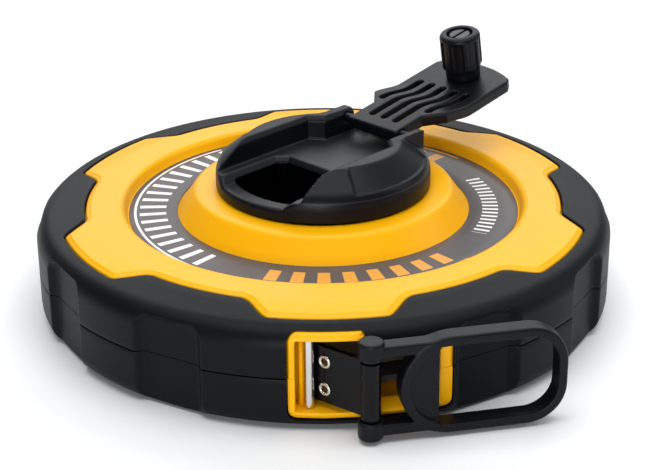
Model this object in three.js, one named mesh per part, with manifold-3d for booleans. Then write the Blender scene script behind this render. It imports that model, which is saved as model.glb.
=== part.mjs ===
// Closed-case long measuring tape with a fold-out crank.
// Millimetres, +Z up. The origin is the middle of the flat base, on the spool's axis.
import * as THREE from 'three';
import { mergeVertices } from 'three/addons/utils/BufferGeometryUtils.js';
import Module from 'manifold-3d';

const wasm = await Module();
wasm.setup();

const DEGREE = Math.PI / 180;

// Case
const CASE_RADIUS = 76.2; // rubber side wall
const CASE_HEIGHT = 27.5; // base to the rim of the label groove
const PARTING_Z = 13.4; // where the two halves meet
const PARTING_GAP = 0.1;
const TOP_ROUND = 5.5; // rounding of the rubber's upper edge
const BOTTOM_ROUND = 4.5;
const CASE_SLOPE = 8.8 * DEGREE; // the top falls away towards the rim
const WALL_INNER = 71.0;
const WALL_OUTER = 72.6;
const RUBBER_GAP = 0.15;
const FLOOR_TOP = 2.2;
const CEILING = 22.5;
const DECK_TOP = 24.8; // moulded deck that carries the rubber

// Six-lobed cover plate
const LOBES = 6;
const LOBE_RADIUS = 69.75;
const VALLEY_RADIUS = 63.0;
const FIRST_LOBE = 30.7 * DEGREE;
const LOBE_HALF_ANGLE = 12.0 * DEGREE;
const VALLEY_START = 17.3 * DEGREE;
const PLATE_GAP = 0.35;

// Grip recesses in the rubber, one every 30 degrees except at the mouth
const RECESS_PITCH = 30 * DEGREE;
const RECESS_COUNT = 12;
const MOUTH_RECESS = 8;
const RECESS_DEPTH = 2.3;
const RECESS_HALF_WIDTH = 9.6;
const RECESS_TOP = 24.7;
const RECESS_CORNER = 4.0;
const RECESS_SLANT = 1.6;

// Label groove and centre boss
const LABEL_INNER = 38.9;
const LABEL_OUTER = 51.8;
const LABEL_THICKNESS = 0.35;
const GROOVE_FLOOR = 24.45;
const BOSS_TOP = 31.0;
const BOSS_CREASE = 33.6;
const HUB_BORE = 27.3;

// Mouth
const MOUTH = { left: -8.5, right: 29.9, bottom: 2.7, top: 24.8, corner: 2.4 };
const MOUTH_BAR = { left: 1.6, right: 3.1, bottom: 1.7, top: 1.8 };
const FRAME_RADIUS = 75.7;
const MOUTH_LIP = { left: 9.5, bottom: 22.4, inner: 74.1, top: 24.6, corner: 1.6, gap: 0.15 };
const ROLLERS = [['left', -3.63, -72.55], ['right', 24.9, -68.1]];
const ROLLER_RADIUS = 1.3;
const JOURNAL_RADIUS = 0.8;
const JOURNAL_LENGTH = 0.8;
const JOURNAL_CLEARANCE = 0.15;
const ROLLER_END_GAP = 0.3;
const GUIDE_POST = { x: -5.4, y: -70.95, radius: 0.7 };

// Screws
const CASE_SCREW_CIRCLE = 66.2;
const CASE_SCREW_LOBES = [0, 1, 2, 3, 5];
const BOSS_RADIUS = 2.9;
const SCREW_HEAD_RADIUS = 2.4;
const SCREW_HEAD_HEIGHT = 1.5;
const SCREW_SHANK_RADIUS = 1.25;
const SCREW_HOLE_RADIUS = 1.5;
const HEAD_RECESS_RADIUS = 2.75;
const HEAD_RECESS_DEPTH = 2.1;

// Spool and tape
const TAPE_WIDTH = 13.0;
const TAPE_BOTTOM = 6.8;
const TAPE_THICKNESS = 0.35;
const COIL_OUTER = 57.2;
const DRUM_RADIUS = 32.0;
const DRUM_WALL = 2.0;
const FLANGE_RADIUS = 62.5;
const LOWER_FLANGE = [4.4, 6.0];
const UPPER_FLANGE = [20.5, 21.9];
const DRUM_FLOOR = [5.2, 7.2];
const SPINDLE_RADIUS = 4.4;
const SPINDLE_TOP = 10.5;
const BEARING_BORE = 4.7;
const BEARING_RADIUS = 7.2;
const WASHER = [2.35, 2.85];

// Crank hub
const HUB_ANGLE = 45.3 * DEGREE; // direction in which the open arm points
const HUB_RADIUS = 28.5;
const HUB_BOTTOM = 31.4;
const HUB_SHOULDER = 37.5;
const HUB_TOP = 43.3;
const HUB_RIM = 21.3;
const NECK_RADIUS = 26.9;
const SKIRT_BOTTOM = 19.0;
const SKIRT_INNER = 25.2;
const HUB_ROOF = 33.6;
const TRAY_FLOOR = 36.8;
const TRAY_HALF_WIDTH = 15.2;
const CHANNEL_SILL = { start: 24.4, top: 38.9 };
const CHANNEL_HALF_WIDTH = 11.3;
const LEDGE_Z = 34.6; // flat rim between the pocket and the hub's edge
const POCKET = { near: -3.8, half: 11.6, chamfer: 2.1, radius: 24.0, floor: 31.7 };
const WELL_INSET = 0.2;
const WELL_FLOOR = 21.0;
const WELL_WALL = 1.6;
const POCKET_BEVEL = 1.35;
const EAR = { start: 12.0, end: 24.0, outer: 14.7 };
const PANEL = { from: 47 * DEGREE, to: 118 * DEGREE, depth: 0.45, low: 38.3, high: 42.6 };
const HUB_SCREW_CIRCLE = 19.0;
const HUB_SCREW_ANGLES = [0, 105 * DEGREE, -105 * DEGREE];
const HUB_POST_RADIUS = 3.0;

// Crank arm, measured from its hinge pin
const HINGE = { u: 21.1, z: 41.2, radius: 1.2, half: 13.3, clearance: 0.2 };
const ARM_TILT = 9.6 * DEGREE;
const ARM_THICKNESS = 3.4;
const ARM_ROOT = -2.2;
const ARM_NECK = { half: 8.9, end: 8.4 };
const ARM_BLADE = { half: 13.3, start: 13.4, corner: { width: 1.2, length: 2 } };
const ARM_END = 44.7;
const ARM_END_RADIUS = 26.0;
const ARM_STEP = { from: 15.5, to: 20.5, drop: 2.2 };
const SLOT_WIDTH = 2.0;
const SLOT_END = 28.3;
const LONG_SLOTS = [4.25, 0, -4.25];
const SHORT_SLOTS = [8.5, -8.5];
const LONG_SLOT_START = 2.1;
const SHORT_SLOT_START = 10.8;

// Knob
const KNOB = { s: 36.3, height: 13.3, radius: 5.75, collar: 4.9, collarHeight: 2.2, gap: 0.3 };
const KNOB_FLUTES = 8;
const FLUTE = { radius: 1.9, depth: 0.65 };
const KNOB_BORE = 2.0;
const KNOB_SCREW = { shank: 1.7, head: 3.2, headHeight: 1.3, recess: 3.6, recessDepth: 1.9 };
const DRIVER_SLOT = { width: 0.8, depth: 0.6 };

// Tape end and hook
const PATH_ANGLE = -37.0 * DEGREE;
const PATH_OFFSET = 57.8; // distance of the tape's straight run from the spool's axis
const BLADE = { start: -30.0, end: 52.0 };
const TAB = { start: 35.2, half: 0.75, slotHalf: 0.3, slotEnd: 52.6, loop: 2.4, height: 14.4 };
const EYELETS = { along: 44.2, spread: 3.6, flange: 1.75, barrel: 1.15, hole: 0.85, lip: 0.35 };
const HOOK_PIN = { along: 56.7, radius: 1.0, hole: 1.2, height: 23.4 };
const HOOK_ANGLE = 12.0 * DEGREE;
const BARREL = { radius: 3.0, height: 4.6, edge: 0.6 };
const RING = { left: 6.4, right: 46.5, half: 12.5, corner: 9.5, band: 2.4, depth: 2.5 };
const WEB = { edge: 15.9, depth: 1.3 };
const YOKE = { inner: 8.7, outer: 11.5, depth: 2.2, end: 15.0 };

// Roundness
const ROUND = 48;
const HIDDEN_ROUND = 32;
const SMALL_ROUND = 12;
const POST_ROUND = 8;

const MATERIALS = {
  yellow: { color: 0xf5a800, roughness: 0.45, metalness: 0 },
  rubber: { color: 0x202226, roughness: 0.7, metalness: 0 },
  label: { color: 0x4a464a, roughness: 0.5, metalness: 0 },
  black: { color: 0x1d1f24, roughness: 0.5, metalness: 0 },
  steel: { color: 0xc8c8c4, roughness: 0.25, metalness: 1 },
  tape: { color: 0xf2e9c8, roughness: 0.6, metalness: 0 },
  spool: { color: 0x3a3c40, roughness: 0.6, metalness: 0 },
};

// ---- Solids -------------------------------------------------------------

// Turns a closed three.js geometry into a solid with its faces pointing out.
function solid(geometry) {
  geometry.deleteAttribute('normal');
  geometry.deleteAttribute('uv');
  const merged = mergeVertices(geometry, 1e-4);
  const vertProperties = new Float32Array(merged.attributes.position.array);
  const corner = (i) => new THREE.Vector3().fromArray(vertProperties, 3 * i);
  let faces = [];
  let volume = 0;
  const index = merged.index.array;
  for (let i = 0; i < index.length; i += 3) {
    const [a, b, c] = [index[i], index[i + 1], index[i + 2]];
    if (a === b || b === c || c === a) continue;
    faces.push([a, b, c]);
    volume += corner(a).dot(corner(b).cross(corner(c)));
  }
  if (volume < 0) faces = faces.map(([a, b, c]) => [a, c, b]);
  const triVerts = new Uint32Array(faces.flat());
  return new wasm.Manifold(new wasm.Mesh({ numProp: 3, vertProperties, triVerts }));
}

const join = (first, ...others) => others.reduce((body, other) => body.add(other), first);
const cut = (first, ...others) => others.reduce((body, other) => body.subtract(other), first);

// A solid of revolution about Z. The profile is a list of [radius, height] points.
function turned(profile, segments = ROUND) {
  const onAxis = profile[0][0] === 0 && profile.at(-1)[0] === 0;
  const closed = onAxis ? profile : [...profile, profile[0]];
  const points = closed.map(([radius, height]) => new THREE.Vector2(radius, height));
  return solid(new THREE.LatheGeometry(points, segments).rotateX(Math.PI / 2));
}

function disc(radius, low, high, segments = ROUND) {
  return turned([[0, low], [radius, low], [radius, high], [0, high]], segments);
}

function ring(inner, outer, low, high, segments = ROUND) {
  return turned([[inner, low], [outer, low], [outer, high], [inner, high]], segments);
}

function pin(x, y, radius, low, high, segments = SMALL_ROUND) {
  return disc(radius, low, high, segments).translate([x, y, 0]);
}

function block(x0, x1, y0, y1, z0, z1) {
  const box = new THREE.BoxGeometry(x1 - x0, y1 - y0, z1 - z0);
  return solid(box.translate((x0 + x1) / 2, (y0 + y1) / 2, (z0 + z1) / 2));
}

function prism(shape, low, high, curveSegments = SMALL_ROUND) {
  const options = { depth: high - low, bevelEnabled: false, curveSegments };
  return solid(new THREE.ExtrudeGeometry(shape, options).translate(0, 0, low));
}

// A prism whose shape is drawn in X and Z and runs along Y.
function wallPrism(shape, front, back, curveSegments = 3) {
  const options = { depth: back - front, bevelEnabled: false, curveSegments };
  const geometry = new THREE.ExtrudeGeometry(shape, options);
  return solid(geometry.rotateX(Math.PI / 2).translate(0, back, 0));
}

// Points of an arc in a turned profile, from one angle to another.
function arc(radius, height, size, from, to, steps) {
  return Array.from({ length: steps + 1 }, (_, i) => {
    const angle = from + ((to - from) * i) / steps;
    return [radius + size * Math.cos(angle), height + size * Math.sin(angle)];
  });
}

function roundedRect(x0, x1, y0, y1, corner) {
  const shape = new THREE.Shape();
  shape.absarc(x1 - corner, y1 - corner, corner, 0, Math.PI / 2);
  shape.absarc(x0 + corner, y1 - corner, corner, Math.PI / 2, Math.PI);
  shape.absarc(x0 + corner, y0 + corner, corner, Math.PI, 1.5 * Math.PI);
  shape.absarc(x1 - corner, y0 + corner, corner, 1.5 * Math.PI, 2 * Math.PI);
  return shape;
}

function polygon(points) {
  return new THREE.Shape(points.map(([x, y]) => new THREE.Vector2(x, y)));
}

const onCircle = (radius, angle) => [radius * Math.cos(angle), radius * Math.sin(angle)];

function piece(name, body, material) {
  const { vertProperties, triVerts } = body.getMesh();
  const geometry = new THREE.BufferGeometry();
  geometry.setAttribute('position', new THREE.BufferAttribute(vertProperties, 3));
  geometry.setIndex(new THREE.BufferAttribute(triVerts, 1));
  geometry.computeVertexNormals();
  const mesh = new THREE.Mesh(geometry, new THREE.MeshStandardMaterial(MATERIALS[material]));
  mesh.name = name;
  return mesh;
}

// ---- Case ---------------------------------------------------------------

const topAt = (radius) => CASE_HEIGHT - Math.max(0, radius - VALLEY_RADIUS) * Math.tan(CASE_SLOPE);

// The lobed outline of the yellow plate, let out by an offset.
function lobedShape(offset) {
  const shape = new THREE.Shape();
  for (let lobe = 0; lobe < LOBES; lobe += 1) {
    const middle = FIRST_LOBE + (lobe * 2 * Math.PI) / LOBES;
    const next = middle + (2 * Math.PI) / LOBES;
    const lobeRadius = LOBE_RADIUS + offset;
    const valleyRadius = VALLEY_RADIUS + offset;
    const spread = offset / LOBE_RADIUS;
    shape.absarc(0, 0, lobeRadius, middle - LOBE_HALF_ANGLE - spread,
      middle + LOBE_HALF_ANGLE + spread);
    shape.absarc(0, 0, valleyRadius, middle + VALLEY_START + spread, next - VALLEY_START - spread);
  }
  return shape;
}

const mouthShape = (grow) => roundedRect(MOUTH.left - grow, MOUTH.right + grow,
  MOUTH.bottom - grow, MOUTH.top + grow, MOUTH.corner + grow);

// The rubber lip that laps over the right-hand part of the frame's top, or the room for it.
function mouthLip(gap) {
  const { left, bottom, inner, top, corner } = MOUTH_LIP;
  const x = left - gap;
  const right = MOUTH.right + corner;
  const high = CASE_HEIGHT + 1;
  const shape = polygon([
    [x, bottom - gap], [right, bottom - gap], [right, high], [x - corner, high],
    [x - corner, MOUTH.top], [x - corner / 3, MOUTH.top - corner / 3], [x, MOUTH.top - corner],
  ]);
  return cut(wallPrism(shape, -CASE_RADIUS - 5, -60), disc(inner - gap, 0, top - gap));
}

// The mouth frame, a rounded block faced to the case's round, for one half of the case.
function mouthFrame(low, high) {
  const face = FRAME_RADIUS;
  const inner = WALL_INNER - 0.1;
  const body = turned([
    [inner, 2.0], [face - 1.2, 2.0], [face - 0.3, 3.6], [face, 5.0], [face, 22.6],
    [face - 0.5, 24.3], [face - 1.6, 25.7], [inner, 25.7],
  ]);
  const half = block(MOUTH.left - 1, MOUTH.right + 1, -CASE_RADIUS, -60, low, high);
  const shaped = body.intersect(wallPrism(mouthShape(0), -CASE_RADIUS, -60)).intersect(half);
  return cut(shaped, mouthLip(MOUTH_LIP.gap));
}

const mouthOpening = wallPrism(
  roundedRect(MOUTH.left + MOUTH_BAR.left, MOUTH.right - MOUTH_BAR.right,
    MOUTH.bottom + MOUTH_BAR.bottom, MOUTH.top - MOUTH_BAR.top, 0.5), -80, -64, 1);
const OPENING_BOTTOM = MOUTH.bottom + MOUTH_BAR.bottom;
const OPENING_TOP = MOUTH.top - MOUTH_BAR.top;

// Blind holes for the rollers' journals, in the sill and in the lintel.
function journalHoles() {
  const radius = JOURNAL_RADIUS + JOURNAL_CLEARANCE;
  const reach = JOURNAL_LENGTH + ROLLER_END_GAP;
  const holes = ROLLERS.map(([, x, y]) =>
    pin(x, y, radius, OPENING_BOTTOM - reach, OPENING_TOP + reach));
  return join(...holes);
}

const lobeAngle = (lobe) => FIRST_LOBE + (lobe * 2 * Math.PI) / LOBES;
const caseScrewPoints = CASE_SCREW_LOBES.map((lobe) => onCircle(CASE_SCREW_CIRCLE, lobeAngle(lobe)));

function upperShell() {
  const low = PARTING_Z + PARTING_GAP / 2;
  const shell = turned([
    [HUB_BORE, BOSS_TOP - 2.1], [BOSS_CREASE - 0.8, BOSS_TOP - 2.1], [LABEL_INNER - 2.2, CEILING],
    [WALL_INNER - 0.5, CEILING], [WALL_INNER, CEILING - 0.5], [WALL_INNER, low],
    [WALL_OUTER, low], [WALL_OUTER, CEILING], [WALL_OUTER - 1.9, DECK_TOP],
    [VALLEY_RADIUS - 1, DECK_TOP], [VALLEY_RADIUS - 1, CASE_HEIGHT],
    ...arc(54.6, CASE_HEIGHT - 1.8, 1.8, 90 * DEGREE, 165 * DEGREE, 2),
    [LABEL_OUTER + 0.3, GROOVE_FLOOR], [LABEL_INNER - 0.4, GROOVE_FLOOR],
    [LABEL_INNER - 0.4, GROOVE_FLOOR + 0.5], [BOSS_CREASE + 0.9, BOSS_TOP - 0.6],
    [BOSS_CREASE, BOSS_TOP], [HUB_BORE, BOSS_TOP],
  ]);
  const rim = LOBE_RADIUS + 1;
  const plate = turned([[VALLEY_RADIUS - 3, CEILING + 1], [rim, CEILING + 1], [rim, topAt(rim)],
    [VALLEY_RADIUS, CASE_HEIGHT], [VALLEY_RADIUS - 3, CASE_HEIGHT]]);
  const posts = caseScrewPoints.map(([x, y]) => pin(x, y, BOSS_RADIUS, low, CEILING + 1, POST_ROUND));
  const guide = pin(GUIDE_POST.x, GUIDE_POST.y, GUIDE_POST.radius, low, OPENING_TOP + 0.5,
    POST_ROUND);
  const holes = caseScrewPoints.map(([x, y]) => pin(x, y, SCREW_HOLE_RADIUS, low - 1, 21, POST_ROUND));
  const lobed = plate.intersect(prism(lobedShape(0), CEILING, CASE_HEIGHT + 1, 4));
  const body = join(shell, lobed, ...posts, mouthFrame(low, MOUTH.top + 1));
  return cut(join(cut(body, mouthOpening), guide), journalHoles(), ...holes);
}

function lowerShell() {
  const high = PARTING_Z - PARTING_GAP / 2;
  const shell = turned([
    [0, 0], [VALLEY_RADIUS - 1, 0], [VALLEY_RADIUS - 1, FLOOR_TOP], [WALL_OUTER - 1.9, FLOOR_TOP],
    [WALL_OUTER, 4.1], [WALL_OUTER, high], [WALL_INNER, high], [WALL_INNER, 4.2],
    [WALL_INNER - 0.8, 3.4], [60, 3.4], [58.8, FLOOR_TOP], [SPINDLE_RADIUS, FLOOR_TOP],
    [SPINDLE_RADIUS, SPINDLE_TOP - 0.5], [SPINDLE_RADIUS - 0.5, SPINDLE_TOP], [0, SPINDLE_TOP],
  ]);
  const plate = ring(VALLEY_RADIUS - 3, LOBE_RADIUS + 1, 0, FLOOR_TOP + 0.5);
  const lobed = plate.intersect(prism(lobedShape(0), -1, FLOOR_TOP + 0.5, 4));
  const posts = caseScrewPoints.map(([x, y]) => pin(x, y, BOSS_RADIUS, 1, high, POST_ROUND));
  const guide = pin(GUIDE_POST.x, GUIDE_POST.y, GUIDE_POST.radius, OPENING_BOTTOM - 0.5, high,
    POST_ROUND);
  const body = join(shell, lobed, ...posts, mouthFrame(MOUTH.bottom - 1, high));
  const holes = caseScrewPoints.flatMap(([x, y]) => [
    pin(x, y, SCREW_HOLE_RADIUS, 0.5, high + 1, POST_ROUND),
    pin(x, y, HEAD_RECESS_RADIUS, -1, HEAD_RECESS_DEPTH),
  ]);
  return cut(join(cut(body, mouthOpening), guide), journalHoles(), ...holes);
}

// Slant-sided cutters that press the grip recesses into the rubber's side wall.
function recessCutters() {
  const half = RECESS_HALF_WIDTH - RECESS_SLANT;
  const top = RECESS_TOP - RECESS_SLANT;
  const shape = roundedRect(-half, half, -CASE_HEIGHT, top, RECESS_CORNER);
  const options = { depth: 10, bevelThickness: RECESS_DEPTH, bevelSize: RECESS_SLANT,
    bevelSegments: 1, curveSegments: 2 };
  const cutters = [];
  for (let i = 0; i < RECESS_COUNT; i += 1) {
    if (i === MOUTH_RECESS) continue;
    const angle = FIRST_LOBE + i * RECESS_PITCH;
    const geometry = new THREE.ExtrudeGeometry(shape, options);
    geometry.rotateX(Math.PI / 2).translate(0, -CASE_RADIUS, 0).rotateZ(angle + Math.PI / 2);
    cutters.push(solid(geometry));
  }
  return cutters;
}

function trimmedGrip(profile, low, high) {
  const lobes = prism(lobedShape(PLATE_GAP), low, high, 4);
  const frame = cut(wallPrism(mouthShape(0.3), -CASE_RADIUS - 5, -60), mouthLip(0));
  return cut(turned(profile), lobes, frame, ...recessCutters());
}

function upperGrip() {
  const low = PARTING_Z + PARTING_GAP;
  const inner = WALL_OUTER + RUBBER_GAP;
  const under = DECK_TOP + RUBBER_GAP;
  const middle = CASE_RADIUS - TOP_ROUND;
  const height = topAt(middle) - TOP_ROUND / Math.cos(CASE_SLOPE);
  return trimmedGrip([
    [inner, low], [CASE_RADIUS, low],
    ...arc(middle, height, TOP_ROUND, 0, 90 * DEGREE - CASE_SLOPE, 4),
    [VALLEY_RADIUS, CASE_HEIGHT], [VALLEY_RADIUS - 1, CASE_HEIGHT],
    [VALLEY_RADIUS - 1, under], [WALL_OUTER - 1.8, under], [inner, CEILING],
  ], DECK_TOP - 1, CASE_HEIGHT + 1);
}

function lowerGrip() {
  const high = PARTING_Z - PARTING_GAP;
  const inner = WALL_OUTER + RUBBER_GAP;
  const above = FLOOR_TOP - RUBBER_GAP;
  return trimmedGrip([
    [VALLEY_RADIUS - 1, 0],
    ...arc(CASE_RADIUS - BOTTOM_ROUND, BOTTOM_ROUND, BOTTOM_ROUND, -90 * DEGREE, 0, 3),
    [CASE_RADIUS, high], [inner, high], [inner, 4.0],
    [WALL_OUTER - 1.8, above], [VALLEY_RADIUS - 1, above],
  ], -1, DECK_TOP);
}

function labelRing() {
  const top = GROOVE_FLOOR + 0.05 + LABEL_THICKNESS;
  return ring(LABEL_INNER, LABEL_OUTER, top - LABEL_THICKNESS, top);
}

function roller() {
  const low = OPENING_BOTTOM + ROLLER_END_GAP;
  const high = OPENING_TOP - ROLLER_END_GAP;
  return turned([
    [0, low - JOURNAL_LENGTH], [JOURNAL_RADIUS, low - JOURNAL_LENGTH], [JOURNAL_RADIUS, low],
    [ROLLER_RADIUS, low], [ROLLER_RADIUS, high], [JOURNAL_RADIUS, high],
    [JOURNAL_RADIUS, high + JOURNAL_LENGTH], [0, high + JOURNAL_LENGTH],
  ], SMALL_ROUND);
}

// A screw standing on its head, driven upwards. A visible one has its cross recess.
function screw(x, y, headBottom, length, withCross) {
  const headTop = headBottom + SCREW_HEAD_HEIGHT;
  const body = turned([
    [0, headBottom], [SCREW_HEAD_RADIUS - 0.5, headBottom], [SCREW_HEAD_RADIUS, headBottom + 0.5],
    [SCREW_HEAD_RADIUS, headTop], [SCREW_SHANK_RADIUS, headTop],
    [SCREW_SHANK_RADIUS, headTop + length - 1], [0.4, headTop + length], [0, headTop + length],
  ], SMALL_ROUND).translate([x, y, 0]);
  if (!withCross) return body;
  const reach = 1.4;
  const half = 0.3;
  const cross = [
    block(-reach, reach, -half, half, headBottom - 1, headBottom + 0.9),
    block(-half, half, -reach, reach, headBottom - 1, headBottom + 0.9),
  ];
  return cut(body, ...cross.map((bar) => bar.translate([x, y, 0])));
}

// ---- Spool --------------------------------------------------------------

const hubScrewPoints = HUB_SCREW_ANGLES.map((angle) => onCircle(HUB_SCREW_CIRCLE, angle));

function spoolDrum() {
  const [flangeLow, flangeHigh] = LOWER_FLANGE;
  const [floorLow, floorHigh] = DRUM_FLOOR;
  const inner = DRUM_RADIUS - DRUM_WALL;
  const drum = turned([
    [BEARING_BORE, WASHER[1] + 0.2], [BEARING_RADIUS, WASHER[1] + 0.2], [BEARING_RADIUS, floorLow],
    [inner - 1, floorLow], [inner - 0.2, flangeLow], [FLANGE_RADIUS, flangeLow],
    [FLANGE_RADIUS, flangeHigh], [DRUM_RADIUS, flangeHigh], [DRUM_RADIUS, UPPER_FLANGE[0] - 0.2],
    [inner, UPPER_FLANGE[0] - 0.2], [inner, floorHigh], [BEARING_RADIUS, floorHigh],
    [BEARING_RADIUS, SPINDLE_TOP + 0.6], [BEARING_BORE, SPINDLE_TOP + 0.6],
  ], HIDDEN_ROUND);
  const holes = hubScrewPoints.map(([x, y]) => pin(x, y, SCREW_HOLE_RADIUS, 0, floorHigh + 1, POST_ROUND));
  return cut(drum, ...holes);
}

const upperFlange = () => ring(NECK_RADIUS + 0.7, FLANGE_RADIUS, ...UPPER_FLANGE, HIDDEN_ROUND);
const tapeCoil = () => ring(DRUM_RADIUS + 0.3, COIL_OUTER, TAPE_BOTTOM, TAPE_BOTTOM + TAPE_WIDTH, 48);
const spoolWasher = () => ring(BEARING_BORE + 0.1, 9.0, ...WASHER, 24);

// ---- Crank hub, drawn with the open arm along +X ---------------------------

// The knob's pocket: a chamfered square end near the middle and a round end at the rim.
function pocketShape(inset) {
  const half = POCKET.half - inset;
  const near = POCKET.near - inset;
  const radius = POCKET.radius - inset;
  const angle = Math.PI - Math.asin(half / radius);
  const shape = new THREE.Shape();
  shape.moveTo(near, half - POCKET.chamfer);
  shape.lineTo(near - POCKET.chamfer, half);
  shape.absarc(0, 0, radius, angle, 2 * Math.PI - angle, false);
  shape.lineTo(near - POCKET.chamfer, -half);
  shape.lineTo(near, POCKET.chamfer - half);
  return shape;
}

// The tray that the folded arm lies in, with its narrower channel past the hinge.
function trayCutter() {
  const step = CHANNEL_HALF_WIDTH;
  const far = HUB_RADIUS + 2;
  const plan = polygon([
    [-far, -TRAY_HALF_WIDTH], [9.5, -TRAY_HALF_WIDTH], [12.5, -step], [far, -step],
    [far, step], [12.5, step], [9.5, TRAY_HALF_WIDTH], [-far, TRAY_HALF_WIDTH],
  ]);
  const sill = block(CHANNEL_SILL.start, far + 1, -step - 1, step + 1, 0, CHANNEL_SILL.top);
  return cut(prism(plan, TRAY_FLOOR, HUB_TOP + 1), sill);
}

// The bevel round the pocket's mouth, which runs out over a flat rim at the hub's edge.
function ledgeCutter() {
  const far = HUB_RADIUS + 2;
  const outline = (margin) => {
    const half = POCKET.half + margin;
    const near = POCKET.near + margin;
    const corner = POCKET.chamfer + margin * (2 - Math.SQRT2);
    return polygon([
      [-far, -half], [near - corner, -half], [near, corner - half], [near, half - corner],
      [near - corner, half], [-far, half],
    ]);
  };
  const foot = POCKET_BEVEL + LEDGE_Z - TRAY_FLOOR;
  return wasm.Manifold.hull([
    prism(outline(foot), LEDGE_Z, LEDGE_Z + 0.01),
    prism(outline(POCKET_BEVEL), TRAY_FLOOR, TRAY_FLOOR + 1),
  ]);
}

// Shallow panels in the hub's sloping shoulder, one on each side of the arm.
function panelCutters() {
  const { from, to, depth, low, high } = PANEL;
  const slope = (HUB_RADIUS - HUB_RIM) / (HUB_TOP - HUB_SHOULDER);
  const shoulder = (z) => HUB_RADIUS - (z - HUB_SHOULDER) * slope;
  const band = turned([
    [shoulder(low) - depth, low], [shoulder(low) + 3, low],
    [shoulder(low) + 3, high], [shoulder(high) - depth, high],
  ]);
  const sector = (a, b) => {
    const shape = new THREE.Shape();
    shape.moveTo(...onCircle(10, a));
    shape.lineTo(...onCircle(40, a));
    shape.lineTo(...onCircle(50, (a + b) / 2));
    shape.lineTo(...onCircle(40, b));
    shape.lineTo(...onCircle(10, b));
    return prism(shape, low - 1, high + 1);
  };
  return [band.intersect(sector(from, to)), band.intersect(sector(-to, -from))];
}

function crankHub() {
  const outer = turned([
    [0, SKIRT_BOTTOM], [NECK_RADIUS, SKIRT_BOTTOM], [NECK_RADIUS, HUB_BOTTOM],
    [HUB_RADIUS, HUB_BOTTOM], [HUB_RADIUS, HUB_SHOULDER], [HUB_RIM, HUB_TOP], [0, HUB_TOP],
  ]);
  const { start, end, outer: side } = EAR;
  const middle = CHANNEL_HALF_WIDTH - 1;
  const ears = [
    block(start, end, middle, side, HUB_SHOULDER - 2, HUB_TOP),
    block(start, end, -side, -middle, HUB_SHOULDER - 2, HUB_TOP),
  ];
  const hollow = disc(SKIRT_INNER, SKIRT_BOTTOM - 1, HUB_ROOF, HIDDEN_ROUND);
  const well = prism(pocketShape(WELL_INSET - WELL_WALL), SKIRT_BOTTOM - 2, HUB_ROOF + 1, 8);
  const bores = hubScrewPoints.map(([x, y]) =>
    pin(x, y, SCREW_SHANK_RADIUS + 0.15, 0, HUB_ROOF - 4));
  const posts = hubScrewPoints.map(([x, y]) =>
    pin(x, y, HUB_POST_RADIUS, DRUM_FLOOR[1] + 0.2, HUB_ROOF + 1));
  const pinHole = disc(HINGE.radius + 0.1, -HINGE.half - 0.2, HINGE.half + 0.2, SMALL_ROUND)
    .rotate([90, 0, 0]).translate([HINGE.u, 0, HINGE.z]);
  const shell = cut(join(cut(outer, ...panelCutters()), ...ears), cut(hollow, well));
  return cut(join(shell, ...posts), trayCutter(), ledgeCutter(),
    prism(pocketShape(0), POCKET.floor, HUB_TOP, 8),
    prism(pocketShape(WELL_INSET), WELL_FLOOR, HUB_TOP, 8), pinHole, ...bores);
}

function hingePin() {
  return disc(HINGE.radius, -HINGE.half, HINGE.half, SMALL_ROUND).rotate([90, 0, 0]);
}

// ---- Crank arm and knob, measured from the hinge pin ------------------------

function armOutline() {
  const { half: neck, end: neckEnd } = ARM_NECK;
  const { half, start, corner } = ARM_BLADE;
  const centre = ARM_END - ARM_END_RADIUS;
  const angle = Math.asin((half - corner.width) / ARM_END_RADIUS);
  const cornerStart = centre + ARM_END_RADIUS * Math.cos(angle) - corner.length;
  const shape = new THREE.Shape();
  shape.moveTo(ARM_ROOT, -neck);
  shape.lineTo(neckEnd, -neck);
  shape.lineTo(start, -half);
  shape.lineTo(cornerStart, -half);
  shape.absarc(centre, 0, ARM_END_RADIUS, -angle, angle, false);
  shape.lineTo(cornerStart, half);
  shape.lineTo(start, half);
  shape.lineTo(neckEnd, neck);
  shape.lineTo(ARM_ROOT, neck);
  return shape;
}

function armSlots() {
  const slot = (from, w) => {
    const half = SLOT_WIDTH / 2;
    const shape = roundedRect(from, SLOT_END, w - half, w + half, half - 0.05);
    return prism(shape, -10, 10, 2);
  };
  return [
    ...LONG_SLOTS.map((w) => slot(LONG_SLOT_START, w)),
    ...SHORT_SLOTS.map((w) => slot(SHORT_SLOT_START, w)),
  ];
}

// The arm's plate steps down a little beyond its neck; its side view is swept across it.
function crankArm() {
  const top = ARM_THICKNESS / 2;
  const { from, to, drop } = ARM_STEP;
  const far = ARM_END + 2;
  const side = polygon([
    [ARM_ROOT - 1, -top], [from, -top], [to, -top - drop], [far, -top - drop],
    [far, top - drop], [to, top - drop], [from, top], [ARM_ROOT - 1, top],
  ]);
  const plate = wallPrism(side, -20, 20).intersect(prism(armOutline(), -10, 10, 8));
  const bore = disc(HINGE.radius + HINGE.clearance, -20, 20, SMALL_ROUND).rotate([90, 0, 0]);
  const screwHole = pin(KNOB.s, 0, KNOB_SCREW.shank + 0.15, -10, 10);
  return cut(plate, bore, screwHole, ...armSlots());
}

const knobSeat = ARM_THICKNESS / 2 - ARM_STEP.drop + KNOB.gap;

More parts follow.
